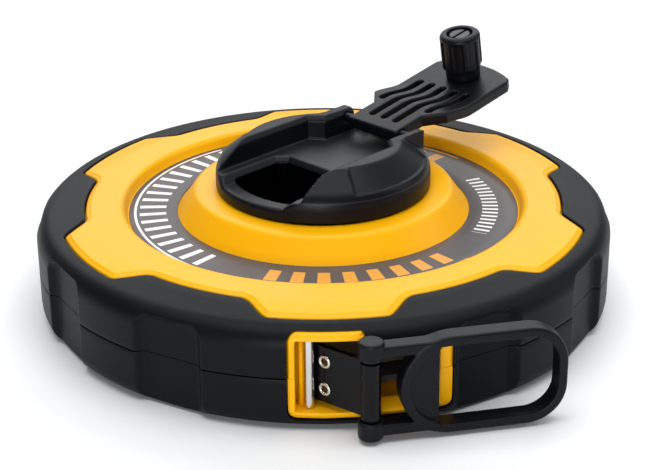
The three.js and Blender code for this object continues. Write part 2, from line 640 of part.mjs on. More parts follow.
function crankKnob() {
  const { radius, collar, collarHeight, height } = KNOB;
  const top = height;
  const body = turned([
    [0, 0], [collar - 0.3, 0], [collar, 0.3], [collar, collarHeight], [radius, collarHeight + 0.9],
    [radius, top - 1.3], [radius - 1.0, top - 0.2], [radius - 1.5, top], [0, top],
  ], 24);
  const flutes = Array.from({ length: KNOB_FLUTES }, (_, i) => {
    const reach = radius + FLUTE.radius - FLUTE.depth;
    const [x, y] = onCircle(reach, (i * 2 * Math.PI) / KNOB_FLUTES);
    return pin(x, y, FLUTE.radius, collarHeight + 0.9, top + 1, POST_ROUND);
  });
  const recess = disc(KNOB_SCREW.recess, top - KNOB_SCREW.recessDepth, top + 1, 24);
  return cut(body, ...flutes, recess, disc(KNOB_BORE, -1, top, SMALL_ROUND));
}

// The slotted screw that the knob turns on.
function knobScrew() {
  const seat = KNOB.height - KNOB_SCREW.recessDepth + 0.2;
  const top = seat + KNOB_SCREW.headHeight;
  const tip = 0.5 - KNOB.gap - ARM_THICKNESS;
  const body = turned([
    [0, tip], [KNOB_SCREW.shank, tip], [KNOB_SCREW.shank, seat], [KNOB_SCREW.head, seat],
    [KNOB_SCREW.head, top - 0.4], [KNOB_SCREW.head - 0.4, top], [0, top],
  ], 16);
  const half = DRIVER_SLOT.width / 2;
  const reach = KNOB_SCREW.head + 1;
  return cut(body, block(-reach, reach, -half, half, top - DRIVER_SLOT.depth, top + 1));
}

// ---- Tape end, drawn with the tape's run along +X -----------------------------

const TAPE_MIDDLE = TAPE_BOTTOM + TAPE_WIDTH / 2;

function tapeBlade() {
  const half = TAPE_THICKNESS / 2;
  const holes = eyeletHeights.map((z) => crossPin(EYELETS.along, z, EYELETS.barrel + 0.15, 2));
  const strip = block(BLADE.start, BLADE.end, -PATH_OFFSET - half, -PATH_OFFSET + half,
    TAPE_BOTTOM, TAPE_BOTTOM + TAPE_WIDTH);
  return cut(strip, ...holes);
}

const eyeletHeights = [EYELETS.spread, -EYELETS.spread].map((offset) => TAPE_MIDDLE + offset);

// A round pin through the tape, lying along Y.
function crossPin(x, z, radius, half) {
  return disc(radius, -half, half, SMALL_ROUND).rotate([90, 0, 0])
    .translate([x, -PATH_OFFSET, z]);
}

function endTab() {
  const low = TAPE_MIDDLE - TAB.height / 2;
  const high = TAPE_MIDDLE + TAB.height / 2;
  const y = -PATH_OFFSET;
  const strip = block(TAB.start, HOOK_PIN.along, y - TAB.half, y + TAB.half, low, high);
  const loop = pin(HOOK_PIN.along, y, TAB.loop, low, high, 24);
  const slot = block(TAB.start - 1, TAB.slotEnd, y - TAB.slotHalf, y + TAB.slotHalf, low - 1, high + 1);
  const pinHole = pin(HOOK_PIN.along, y, HOOK_PIN.hole, low - 1, high + 1);
  const holes = eyeletHeights.map((z) => crossPin(EYELETS.along, z, EYELETS.barrel + 0.15, 2));
  return cut(join(strip, loop), slot, pinHole, ...holes);
}

function eyelet(z) {
  const face = TAB.half + 0.05;
  const { flange, barrel, hole, lip } = EYELETS;
  const rivet = turned([
    [hole, -face - lip], [flange - 0.4, -face - lip], [flange, -face], [barrel, -face],
    [barrel, face], [flange, face], [flange - 0.4, face + lip], [hole, face + lip],
  ], SMALL_ROUND);
  return rivet.rotate([90, 0, 0]).translate([EYELETS.along, -PATH_OFFSET, z]);
}

// ---- Hook, drawn from its pin with the ring along +X and Z from the tape's middle ----

function ringOutline(inset, left) {
  const half = RING.half - inset;
  const right = RING.right - inset;
  const corner = RING.corner - inset;
  const shape = new THREE.Shape();
  shape.absarc(right - corner, half - corner, corner, 0, Math.PI / 2);
  if (left === undefined) {
    shape.absarc(RING.left + RING.half, 0, half, Math.PI / 2, 1.5 * Math.PI);
  } else {
    shape.lineTo(left, half);
    shape.lineTo(left, -half);
  }
  shape.absarc(right - corner, corner - half, corner, 1.5 * Math.PI, 2 * Math.PI);
  return shape;
}

function hookRing() {
  const { depth, band, half } = RING;
  const outer = wallPrism(ringOutline(0), -depth, depth, 8);
  const dish = wallPrism(ringOutline(band), WEB.depth, depth + 1, 8);
  const otherDish = wallPrism(ringOutline(band), -depth - 1, -WEB.depth, 8);
  const window = wallPrism(ringOutline(band, WEB.edge), -depth - 1, depth + 1, 8);
  const yoke = (low, high) => block(0, YOKE.end, -YOKE.depth, YOKE.depth, low, high);
  const { radius, height, edge } = BARREL;
  const lower = disc(radius, -half, height - half, 20);
  const upper = turned([[0, half - height], [radius, half - height], [radius, half - edge],
    [radius - 0.3 * edge, half - 0.3 * edge], [radius - edge, half], [0, half]], 20);
  const pinHole = disc(HOOK_PIN.radius + 0.05, -half - 1, HOOK_PIN.height - half, SMALL_ROUND);
  const frame = cut(outer, dish, otherDish, window);
  const body = join(frame, yoke(YOKE.inner, YOKE.outer), yoke(-YOKE.outer, -YOKE.inner),
    upper, lower);
  return cut(body, pinHole);
}

const hookPin = () =>
  disc(HOOK_PIN.radius, 0.3 - RING.half, HOOK_PIN.height - RING.half - 0.3, SMALL_ROUND);

// ---- Assembly -------------------------------------------------------------

const model = new THREE.Group();
model.add(
  piece('upper_shell', upperShell(), 'yellow'),
  piece('lower_shell', lowerShell(), 'yellow'),
  piece('upper_grip', upperGrip(), 'rubber'),
  piece('lower_grip', lowerGrip(), 'rubber'),
  piece('label_ring', labelRing(), 'label'),
  piece('spool_drum', spoolDrum().rotate([0, 0, HUB_ANGLE / DEGREE]), 'spool'),
  piece('spool_upper_flange', upperFlange(), 'spool'),
  piece('tape_coil', tapeCoil(), 'tape'),
  piece('spool_washer', spoolWasher(), 'steel'),
);
caseScrewPoints.forEach(([x, y], i) => {
  model.add(piece(`case_screw_${i + 1}`, screw(x, y, 0.4, 17, true), 'steel'));
});
ROLLERS.forEach(([side, x, y]) => {
  const mesh = piece(`mouth_roller_${side}`, roller(), 'steel');
  mesh.position.set(x, y, 0);
  model.add(mesh);
});

const crank = new THREE.Group();
crank.rotation.z = HUB_ANGLE;
crank.add(piece('crank_hub', crankHub(), 'black'));
hubScrewPoints.forEach(([x, y], i) => {
  const headBottom = DRUM_FLOOR[0] - SCREW_HEAD_HEIGHT - 0.1;
  crank.add(piece(`hub_screw_${i + 1}`, screw(x, y, headBottom, 15, false), 'steel'));
});
const hinge = piece('crank_hinge_pin', hingePin(), 'black');
hinge.position.set(HINGE.u, 0, HINGE.z);
const arm = new THREE.Group();
arm.position.copy(hinge.position);
arm.rotation.y = -ARM_TILT;
const knobParts = [piece('crank_knob', crankKnob(), 'black'), piece('knob_screw', knobScrew(), 'black')];
knobParts.forEach((mesh) => mesh.position.set(KNOB.s, 0, knobSeat));
arm.add(piece('crank_arm', crankArm(), 'black'), ...knobParts);
crank.add(hinge, arm);
model.add(crank);

const tapeEnd = new THREE.Group();
tapeEnd.rotation.z = PATH_ANGLE;
tapeEnd.add(piece('tape_blade', tapeBlade(), 'tape'), piece('end_tab', endTab(), 'black'));
['upper', 'lower'].forEach((place, i) => {
  tapeEnd.add(piece(`eyelet_${place}`, eyelet(eyeletHeights[i]), 'steel'));
});
const hook = new THREE.Group();
hook.position.set(HOOK_PIN.along, -PATH_OFFSET, TAPE_MIDDLE);
hook.rotation.z = HOOK_ANGLE - PATH_ANGLE;
hook.add(piece('hook_ring', hookRing(), 'black'), piece('hook_pin', hookPin(), 'black'));
tapeEnd.add(hook);
model.add(tapeEnd);

export default model;
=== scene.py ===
import math

import bmesh
import bpy
import numpy as np
from mathutils import Matrix, Vector


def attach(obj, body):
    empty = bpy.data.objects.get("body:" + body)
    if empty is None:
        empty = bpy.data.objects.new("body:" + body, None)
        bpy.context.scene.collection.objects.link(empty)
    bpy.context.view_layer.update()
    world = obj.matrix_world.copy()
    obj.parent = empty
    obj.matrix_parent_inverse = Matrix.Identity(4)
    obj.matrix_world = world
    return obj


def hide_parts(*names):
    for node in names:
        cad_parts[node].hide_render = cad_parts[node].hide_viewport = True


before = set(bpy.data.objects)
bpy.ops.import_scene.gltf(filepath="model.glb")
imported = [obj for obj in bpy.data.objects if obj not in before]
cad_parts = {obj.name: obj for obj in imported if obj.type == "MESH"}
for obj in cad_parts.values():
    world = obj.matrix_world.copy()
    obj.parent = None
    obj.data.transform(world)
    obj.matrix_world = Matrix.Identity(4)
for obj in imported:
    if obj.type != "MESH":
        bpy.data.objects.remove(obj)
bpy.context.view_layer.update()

# Closed-case long measuring tape with a fold-out crank. Lengths are in millimetres
# until the meshes are made; the frame is the CAD model's own.
MM = 0.001
DEG = math.pi / 180
TAU = 2 * math.pi

# ---- Sizes shared with the CAD model ------------------------------------------

CASE_RADIUS = 76.2
TOP_Z = 27.5
PARTING_Z = 13.4
SLOPE_DEGREES = 8.8
SLOPE = math.tan(SLOPE_DEGREES * DEG)
FIRST_LOBE = 30.7 * DEG
LOBE_RADIUS = 69.75
VALLEY_RADIUS = 63.0
LOBE_HALF = 12.0 * DEG
VALLEY_START = 17.3 * DEG
MOUTH = (-8.5, 29.9, 2.7, 24.8)  # left, right, bottom, top
MOUTH_CORNER = 2.4
HUB_ANGLE = 45.3 * DEG
PATH_ANGLE = -37.0 * DEG
TAPE_MIDDLE = 13.3


# ---- Materials ------------------------------------------------------------------

class Nodes:
    """A short way to build a node tree round one Principled shader."""

    def __init__(self, name):
        self.material = bpy.data.materials.new(name)
        self.material.use_nodes = True
        self.tree = self.material.node_tree
        self.shader = self.tree.nodes["Principled BSDF"]
        self.place = self.add("ShaderNodeTexCoord").outputs["Object"]

    def add(self, kind, inputs=(), **settings):
        node = self.tree.nodes.new(kind)
        for key, value in settings.items():
            setattr(node, key, value)
        for key, value in dict(inputs).items():
            self.put(node.inputs[key], value)
        return node

    def put(self, socket, value):
        if isinstance(value, bpy.types.NodeSocket):
            self.tree.links.new(value, socket)
        else:
            socket.default_value = value

    def noise(self, scale, detail=2.0, roughness=0.5, place=None):
        node = self.add("ShaderNodeTexNoise", {"Scale": scale, "Detail": detail,
                                               "Roughness": roughness,
                                               "Vector": place or self.place})
        return node.outputs["Fac"]

    def span(self, value, low, high, to_low, to_high):
        node = self.add("ShaderNodeMapRange", {0: value, 1: low, 2: high, 3: to_low, 4: to_high})
        return node.outputs[0]

    def math(self, operation, a, b=0.0, clamp=False):
        node = self.add("ShaderNodeMath", {0: a, 1: b}, operation=operation, use_clamp=clamp)
        return node.outputs[0]

    def mix(self, factor, a, b):
        node = self.add("ShaderNodeMix", data_type="RGBA")
        for key, value in ((0, factor), (6, a), (7, b)):
            self.put(node.inputs[key], value)
        return node.outputs[2]

    def edges(self):
        """1 on outward edges and 0 on flats."""
        pointiness = self.add("ShaderNodeNewGeometry").outputs["Pointiness"]
        return self.span(pointiness, 0.52, 0.62, 0.0, 1.0)

    def split(self):
        """The place's X, Y and Z, and its distance from the Z axis."""
        x, y, z = self.add("ShaderNodeSeparateXYZ", {0: self.place}).outputs
        squares = self.math("ADD", self.math("MULTIPLY", x, x), self.math("MULTIPLY", y, y))
        return x, y, z, self.math("SQRT", squares)

    def bump(self, height, distance, strength):
        inputs = {"Height": height, "Distance": distance, "Strength": strength}
        return self.add("ShaderNodeBump", inputs).outputs["Normal"]

    def finish(self, **sockets):
        for key, value in sockets.items():
            self.put(self.shader.inputs[key.replace("_", " ")], value)
        return self.material


def rgb(*values):
    return (*values, 1.0)


def plastic(name, base, worn, roughness, grain, grain_depth, wear=0.5, specular=0.5,
            cloud=0.1, dust=0.0, tray=False):
    """Moulded plastic: faint clouding, a fine moulded grain and edges rubbed smoother. The hub's
    has a smoother tray floor, and painted shade in its pocket: near-black, with a weaker reflection."""
    n = Nodes(name)
    broad = n.noise(22.0, 3.0)
    fine = n.noise(grain, 2.0, 0.6)
    shade = n.span(broad, 0.3, 0.7, 1.0 - cloud, 1.0 + cloud)
    tint = n.add("ShaderNodeHueSaturation", {"Color": rgb(*base), "Value": shade}).outputs[0]
    rub = n.math("MULTIPLY", n.edges(), n.span(n.noise(160.0, 3.0), 0.4, 0.65, 0.2 * wear, wear))
    colour = n.mix(rub, tint, rgb(*worn))
    if dust:
        specks = n.span(n.noise(1900.0, 1.0), 0.66, 0.76, 0.0, dust)
        colour = n.mix(specks, colour, rgb(*[min(1.0, c * 2.2 + 0.02) for c in base]))
    rough = n.math("ADD", n.span(fine, 0.3, 0.7, roughness - 0.05, roughness + 0.05),
                   n.span(broad, 0.3, 0.7, -0.03, 0.03))
    rough = n.math("SUBTRACT", rough, n.math("MULTIPLY", rub, 0.12), clamp=True)
    normal = n.bump(fine, grain_depth * MM, 0.6)
    # Painted shade: below the rim inside the pocket the colour is painted near-black and the
    # reflection weakened, standing for the shade that falls there. The tray floor's band gets a
    # stronger reflection.
    if tray:
        _, _, z, radius = n.split()
        inside = n.span(radius, 24.6 * MM, 24.0 * MM, 0.0, 1.0)
        painted_pocket_shade = n.math("MULTIPLY", inside, n.span(z, 35.5 * MM, 35.1 * MM, 0.0, 1.0))
        floor_zone = n.math("MULTIPLY", n.span(z, 36.4 * MM, 36.7 * MM, 0.0, 1.0),
                            n.span(z, 37.1 * MM, 36.9 * MM, 0.0, 1.0))
        # Painted shade: the pocket's colour goes near-black.
        colour = n.mix(painted_pocket_shade, colour, rgb(0.0006, 0.0006, 0.001))
        specular = n.math("MULTIPLY", n.span(floor_zone, 0.0, 1.0, specular, 0.4),
                          n.span(painted_pocket_shade, 0.0, 1.0, 1.0, 0.15))
        rough = n.math("ADD", rough, n.math("MULTIPLY", floor_zone, 0.1))
    return n.finish(Base_Color=colour, Roughness=rough, Normal=normal,
                    Specular_IOR_Level=specular)


def metal(name, base, roughness, scratch_axis=2):
    """Metal with fine scratches along one axis and faint tarnish."""
    n = Nodes(name)
    scratch = 0.06
    stretch = [900.0, 900.0, 900.0]
    stretch[scratch_axis] = 40.0
    lines = n.add("ShaderNodeMapping", {"Vector": n.place, "Scale": stretch}).outputs[0]
    fine = n.noise(1.0, 2.0, 0.6, lines)
    broad = n.noise(90.0, 3.0)
    dull = n.mix(n.span(broad, 0.35, 0.7, 0.0, 0.35), rgb(*base), rgb(*[c * 0.72 for c in base]))
    rough = n.math("ADD", n.span(fine, 0.3, 0.7, roughness - scratch, roughness + scratch),
                   n.span(broad, 0.3, 0.7, 0.0, 0.05), clamp=True)
    normal = n.bump(fine, 0.004 * MM, 0.4)
    return n.finish(Base_Color=dull, Roughness=rough, Normal=normal, Metallic=1.0)


YELLOW = plastic("yellow_plastic", (0.98, 0.465, 0.001), (1.0, 0.55, 0.01), 0.36, 1500.0, 0.010,
                 wear=0.3, specular=0.2, cloud=0.02)
RUBBER = plastic("black_rubber", (0.0030, 0.0038, 0.0056), (0.020, 0.022, 0.028), 0.46, 2600.0,
                 0.02, wear=0.4, specular=0.12, cloud=0.12, dust=0.1)
BLACK_LOOK = {"base": (0.0032, 0.0037, 0.0060), "worn": (0.026, 0.028, 0.036), "roughness": 0.40,
              "grain": 2200.0, "grain_depth": 0.02, "wear": 0.5, "cloud": 0.12, "dust": 0.08}
BLACK = plastic("black_plastic", specular=0.17, **BLACK_LOOK)
HUB = plastic("hub_plastic", specular=0.16, tray=True, **BLACK_LOOK)
TAB = plastic("black_tab", (0.0022, 0.0022, 0.003), (0.008, 0.008, 0.009), 0.18, 900.0, 0.002,
              wear=0.1, specular=0.16, cloud=0.05)
GLOSS = plastic("black_pin", (0.005, 0.005, 0.007), (0.02, 0.02, 0.025), 0.16, 700.0, 0.002,
                wear=0.1, specular=0.5, cloud=0.05)
SPOOL = plastic("spool_plastic", (0.04, 0.04, 0.045), (0.08, 0.08, 0.085), 0.5, 1800.0, 0.02)
NYLON = plastic("nylon", (0.72, 0.72, 0.68), (0.8, 0.8, 0.78), 0.45, 1500.0, 0.01, cloud=0.04)
STEEL = metal("polished_steel", (0.72, 0.70, 0.67), 0.10)
EYELET = metal("eyelet_metal", (0.74, 0.68, 0.60), 0.24, 1)
ZINC = metal("zinc_screw", (0.62, 0.62, 0.63), 0.32, 1)
SCREW = metal("black_screw", (0.05, 0.05, 0.055), 0.35, 0)


def tape_material():
    """Coated glass-fibre tape: parallel fibres that show as fine lines along its length."""
    n = Nodes("glass_fibre_tape")
    stretch = n.add("ShaderNodeMapping", {"Vector": n.place, "Scale": (30, 30, 2400)}).outputs[0]
    fibre = n.noise(1.0, 2.0, 0.6, stretch)
    colour = n.mix(n.span(fibre, 0.35, 0.65, 0.0, 1.0), rgb(0.78, 0.62, 0.20),
                   rgb(0.86, 0.74, 0.34))
    return n.finish(Base_Color=colour, Roughness=n.span(fibre, 0.3, 0.7, 0.38, 0.5),
                    Normal=n.bump(fibre, 0.02 * MM, 0.5))


TAPE = tape_material()
# Painted shade: the wound coil is the same tape, painted much darker to stand for the shade inside
# the case.
SHADED_COIL_TAPE = plastic("coil_tape_painted_shade", (0.10, 0.075, 0.025), (0.12, 0.09, 0.03), 0.5, 1200.0, 0.01)


def label_material():
    """Printed film: two rings of plain tick marks and broken arcs, with no lettering."""
    n = Nodes("label_film")
    x, y, _, radius = n.split()
    angle = n.math("ARCTAN2", y, x)

    def band(low, high):
        inside = n.math("GREATER_THAN", radius, low * MM)
        return n.math("MULTIPLY", inside, n.math("LESS_THAN", radius, high * MM))

    def sector(low, high):
        """1 between two azimuths in degrees, from -180 to 180 with 0 at +X."""
        inside = n.math("GREATER_THAN", angle, low * DEG)
        return n.math("MULTIPLY", inside, n.math("LESS_THAN", angle, high * DEG))

    def ticks(count, share):
        turn = n.math("FRACT", n.math("MULTIPLY", n.math("ADD", angle, math.pi), count / TAU))
        return n.math("LESS_THAN", turn, share)

    def both(a, b):
        return n.math("MULTIPLY", a, b)

    def either(a, b):
        return n.math("MAXIMUM", a, b)

    film = n.mix(n.span(n.noise(60.0, 3.0), 0.3, 0.7, 0.0, 1.0), rgb(0.078, 0.070, 0.074),
                 rgb(0.092, 0.083, 0.088))
    white_side = either(sector(-180, -126), sector(126, 180))
    orange_side = either(sector(-112, -44), sector(40, 100))
    small_side = sector(-26, 24)
    marks = both(white_side, either(both(band(42.0, 49.0), ticks(60, 0.36)), band(49.8, 50.5)))
    dashes = both(orange_side, either(both(band(42.6, 48.4), ticks(45, 0.5)), band(49.8, 50.5)))
    fine = both(small_side, both(band(42.4, 46.6), ticks(120, 0.4)))
    colour = n.mix(either(marks, fine), film, rgb(0.86, 0.86, 0.86))
    colour = n.mix(dashes, colour, rgb(0.80, 0.36, 0.05))
    grain = n.noise(2600.0, 2.0)
    return n.finish(Base_Color=colour, Roughness=n.span(grain, 0.3, 0.7, 0.34, 0.44),
                    Normal=n.bump(grain, 0.008 * MM, 0.5), Specular_IOR_Level=0.25)


LABEL = label_material()


# ---- Meshes -----------------------------------------------------------------------

def add_object(name, points, faces, material, body, slot, nodes=(), place=None):
    """A smooth-shaded piece from points in millimetres, riding on a CAD body."""
    mesh = bpy.data.meshes.new(name)
    if isinstance(faces, np.ndarray):
        faces = faces.tolist()
    mesh.from_pydata((np.asarray(points, float) * MM).tolist(), [], faces)
    work = bmesh.new()
    work.from_mesh(mesh)
    bmesh.ops.remove_doubles(work, verts=work.verts, dist=1e-7)
    bmesh.ops.recalc_face_normals(work, faces=work.faces)
    work.to_mesh(mesh)
    work.free()
    if place is not None:
        mesh.transform(place)
    mesh.materials.append(material)
    mesh.shade_smooth()
    obj = bpy.data.objects.new(name, mesh)
    bpy.context.scene.collection.objects.link(obj)
    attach(obj, body)
    if nodes:
        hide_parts(*nodes)
    return obj


def closed_grid(columns):
    """Points and quads of a grid that closes both ways, such as a ring with a closed section."""
    count, rows, _ = columns.shape
    i, j = np.meshgrid(np.arange(count), np.arange(rows), indexing="ij")
    ahead, above = (i + 1) % count, (j + 1) % rows
    quads = np.stack([i * rows + j, ahead * rows + j, ahead * rows + above, i * rows + above], -1)
    return columns.reshape(-1, 3), quads.reshape(-1, 4)


def arc(x, z, size, start, end, steps):
    """Points on an arc of a section, with angles in degrees."""
    angles = np.linspace(start, end, steps + 1) * DEG
    return [(x + size * math.cos(a), z + size * math.sin(a)) for a in angles]


def turned(name, profile, material, body, slot, nodes=(), place=None, *, segments):
    """A solid of revolution about Z. A profile that starts and ends on the axis is a plug."""
    profile = np.asarray(profile, float)
    angles = np.arange(segments) * TAU / segments
    if profile[0, 0] > 0:
        columns = np.stack([np.outer(np.cos(angles), profile[:, 0]),
                            np.outer(np.sin(angles), profile[:, 0]),
                            np.tile(profile[:, 1], (segments, 1))], -1)
        return add_object(name, *closed_grid(columns), material, body, slot, nodes, place)
    inner = profile[1:-1]
    points = [(0, 0, profile[0, 1])]
    for radius, height in inner:
        points += [(radius * math.cos(a), radius * math.sin(a), height) for a in angles]
    points.append((0, 0, profile[-1, 1]))
    faces = []
    for i in range(segments):
        ahead = (i + 1) % segments
        faces.append((0, 1 + ahead, 1 + i))
        for row in range(len(inner) - 1):
            low, high = 1 + row * segments, 1 + (row + 1) * segments
            faces.append((low + i, low + ahead, high + ahead, high + i))
        last = 1 + (len(inner) - 1) * segments
        faces.append((last + i, last + ahead, len(points) - 1))
    return add_object(name, points, faces, material, body, slot, nodes, place)


def apply_modifiers(obj):
    graph = bpy.context.evaluated_depsgraph_get()
    made = bpy.data.meshes.new_from_object(obj.evaluated_get(graph))
    old = obj.data
    obj.modifiers.clear()
    obj.data = made
    made.name = obj.name
    bpy.data.meshes.remove(old)


def cut_with(obj, points, faces):
    """Cuts a closed mesh, in millimetres, out of an object."""
    mesh = bpy.data.meshes.new("cutter")
    mesh.from_pydata((np.asarray(points) * MM).tolist(), [], faces)
    cutter = bpy.data.objects.new("cutter", mesh)
    bpy.context.scene.collection.objects.link(cutter)
    modifier = obj.modifiers.new("cut", "BOOLEAN")
    modifier.object = cutter
    modifier.operation = "DIFFERENCE"
    modifier.solver = "EXACT"
    apply_modifiers(obj)
    bpy.data.objects.remove(cutter)
    bpy.data.meshes.remove(mesh)
    obj.data.shade_smooth()


def sharpen(obj, degrees=32):
    """Marks edges sharper than an angle, so that smooth shading stops there."""
    work = bmesh.new()
    work.from_mesh(obj.data)
    for edge in work.edges:
        if len(edge.link_faces) == 2 and edge.calc_face_angle(0) > degrees * DEG:
            edge.smooth = False
    work.to_mesh(obj.data)
    work.free()


def rounded_copy(node, material, body, width):
    """A copy of a CAD node with its flat faces joined and its edges rounded."""
    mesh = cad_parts[node].data.copy()
    work = bmesh.new()
    work.from_mesh(mesh)
    bmesh.ops.remove_doubles(work, verts=work.verts, dist=1e-6)
    bmesh.ops.dissolve_limit(work, angle_limit=0.6 * DEG, verts=work.verts, edges=work.edges)
    work.to_mesh(mesh)
    work.free()
    mesh.materials.clear()
    mesh.materials.append(material)
    mesh.shade_smooth()
    obj = bpy.data.objects.new(node + "_rounded", mesh)
    bpy.context.scene.collection.objects.link(obj)
    bevel = obj.modifiers.new("edges", "BEVEL")
    bevel.width = width * MM
    bevel.segments = 2
    bevel.limit_method = "ANGLE"
    bevel.angle_limit = 28 * DEG
    bevel.miter_outer = "MITER_ARC"
    bevel.harden_normals = True
    apply_modifiers(obj)
    obj.modifiers.new("normals", "WEIGHTED_NORMAL").keep_sharp = True
    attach(obj, body)
    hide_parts(node)
    return obj


# ---- Signed distances, for the moulded pieces with blended edges ----------------------

def smooth_min(a, b, k):
    h = np.clip(0.5 + 0.5 * (b - a) / k, 0, 1)
    return b * (1 - h) + a * h - k * h * (1 - h)


def smooth_max(a, b, k):
    return -smooth_min(-a, -b, k)


def polygon_distance(x, y, corners):
    """Signed distance to a closed polygon, negative inside."""
    x, y = np.broadcast_arrays(x, y)
    corners = np.asarray(corners, float)
    best = np.full(x.shape, 1e9)
    flips = np.zeros(x.shape, bool)
    for (ax, ay), (bx, by) in zip(corners, np.roll(corners, -1, 0)):
        ex, ey = bx - ax, by - ay
        wx, wy = x - ax, y - ay
        t = np.clip((wx * ex + wy * ey) / (ex * ex + ey * ey), 0, 1)
        best = np.minimum(best, (wx - ex * t) ** 2 + (wy - ey * t) ** 2)
        crosses = (ay > y) != (by > y)
        slope = ex / ey if ey else 0.0
        flips ^= crosses & (x < ax + (y - ay) * slope)
    return np.where(flips, -1, 1) * np.sqrt(best)


def slab(value, low, high):
    return np.abs(value - (low + high) / 2) - (high - low) / 2


def surface(field, low, high, pitch):
    """The zero surface of a field on a grid, as one point per cell and one quad per crossing,
    with the points then drawn onto the field's own zero."""
    axes = [np.arange(a, b + pitch, pitch) for a, b in zip(low, high)]
    shape = tuple(len(a) for a in axes)
    values = np.broadcast_to(field(axes[0][:, None, None], axes[1][None, :, None],
                                   axes[2][None, None, :]), shape)
    cells = tuple(n - 1 for n in shape)
    total, count = np.zeros(cells + (3,)), np.zeros(cells)
    crossings = []
    for a in range(3):
        b, c = [k for k in range(3) if k != a]
        head = [slice(None)] * 3
        tail = [slice(None)] * 3
        head[a], tail[a] = slice(0, -1), slice(1, None)
        v0, v1 = values[tuple(head)], values[tuple(tail)]
        cross = (v0 < 0) != (v1 < 0)
        at = np.argwhere(cross)
        first, second = v0[cross], v1[cross]
        points = at.astype(float)
        points[:, a] += first / (first - second)
        crossings.append((a, b, c, at, first < 0))
        for db in (0, 1):
            for dc in (0, 1):
                cell = at.copy()
                cell[:, b] -= db
                cell[:, c] -= dc
                ok = ((cell >= 0) & (cell < np.array(cells))).all(1)
                np.add.at(total, tuple(cell[ok].T), points[ok])
                np.add.at(count, tuple(cell[ok].T), 1)
    used = count > 0
    index = np.full(cells, -1)
    index[used] = np.arange(used.sum())
    points = total[used] / count[used][:, None] * pitch + np.array(low)
    faces = []
    for a, b, c, at, inward in crossings:
        ok = ((at[:, [b, c]] > 0) & (at[:, [b, c]] < np.array(cells)[[b, c]])).all(1)
        at, inward = at[ok], inward[ok]
        corners = []
        for db, dc in ((1, 1), (0, 1), (0, 0), (1, 0)):
            cell = at.copy()
            cell[:, b] -= db
            cell[:, c] -= dc
            corners.append(index[tuple(cell.T)])
        quads = np.stack(corners, 1)
        turn = inward if a != 1 else ~inward
        quads[~turn] = quads[~turn][:, ::-1]
        faces.append(quads)
    step = pitch * 0.05
    for _ in range(3):
        here = field(*points.T)
        slope = np.stack([(field(*(points + step * e).T) - here) / step for e in np.eye(3)], 1)
        size = np.maximum((slope ** 2).sum(1), 0.25)
        move = -(here / size)[:, None] * slope
        length = np.linalg.norm(move, axis=1, keepdims=True)
        points = points + move * np.minimum(1, 0.5 * pitch / np.maximum(length, 1e-9))
    return points, np.concatenate(faces)


def moulded(name, field, low, high, pitch, material, body, slot, nodes, place, keep=0.35):
    """A piece from a signed distance, thinned where it is flat."""
    points, faces = surface(field, low, high, pitch)
    obj = add_object(name, points, faces, material, body, slot, nodes, place)
    thin = obj.modifiers.new("thin", "DECIMATE")
    thin.ratio = keep
    apply_modifiers(obj)
    obj.data.shade_smooth()
    obj.modifiers.new("normals", "WEIGHTED_NORMAL").weight = 60
    return obj


# ---- Case -----------------------------------------------------------------------------

def top_height(radius):
    """Height of the case's top: flat, then gently falling towards the rim."""
    bend = 1.2
    past = radius - VALLEY_RADIUS
    eased = np.where(past > bend, past, np.where(past < -bend, 0, (past + bend) ** 2 / (4 * bend)))
    return TOP_Z - eased * SLOPE


def outline(angles, offset):
    """Points of the lobed edge, let out along its own normal."""
    def radius(angle):
        away = np.abs((angle - FIRST_LOBE + math.pi / 6) % (math.pi / 3) - math.pi / 6)
        rise = (LOBE_RADIUS - VALLEY_RADIUS) / (VALLEY_START - LOBE_HALF)
        ramp = VALLEY_RADIUS + (VALLEY_START - away) * rise
        return smooth_min(smooth_max(ramp, VALLEY_RADIUS, 2.2), LOBE_RADIUS, 0.8)

    def place(angle):
        return np.stack([radius(angle) * np.cos(angle), radius(angle) * np.sin(angle)], -1)

    step = 0.02 * DEG
    along = place(angles + step) - place(angles - step)
    normal = np.stack([along[:, 1], -along[:, 0]], -1)
    normal /= np.linalg.norm(normal, axis=1, keepdims=True)
    return place(angles) + normal * offset


def lobed_angles(step, fine):
    """Azimuths all round, closer together at the lobes' corners."""
    pieces = []
    for lobe in range(6):
        middle = FIRST_LOBE + lobe * math.pi / 3
        for low, high, gap in ((-30, -19.5, step), (-19.5, -10.5, fine), (-10.5, 10.5, step),
                               (10.5, 19.5, fine), (19.5, 30, step)):
            count = max(1, round((high - low) / gap))
            pieces.append(middle + np.linspace(low, high, count, endpoint=False) * DEG)
    return np.concatenate(pieces)


def lobed_columns(angles, section):
    """Columns of a section's points, each a kind, a distance and a height. A circle's distance is
    its radius and an edge's its offset from the lobed edge. A kind of (share, inner, offset) lies
    that share of the way from the circle to the edge, and leaves the distance unused."""
    rows = []
    direction = np.stack([np.cos(angles), np.sin(angles)], -1)
    edges = {}
    for kind, across, height in section:
        if kind == "circle":
            flat = direction * across
        elif kind == "edge":
            flat = edges.setdefault(across, outline(angles, across))
        else:
            share, inner, offset = kind
            flat = direction * inner * (1 - share) + outline(angles, offset) * share
        if callable(height):
            z = height(np.linalg.norm(flat, axis=1))
        else:
            z = np.full(len(flat), height)
        rows.append(np.concatenate([flat, z[:, None]], 1))
    return np.stack(rows, 1)


def below_top(drop):
    return lambda radius: top_height(radius) - drop


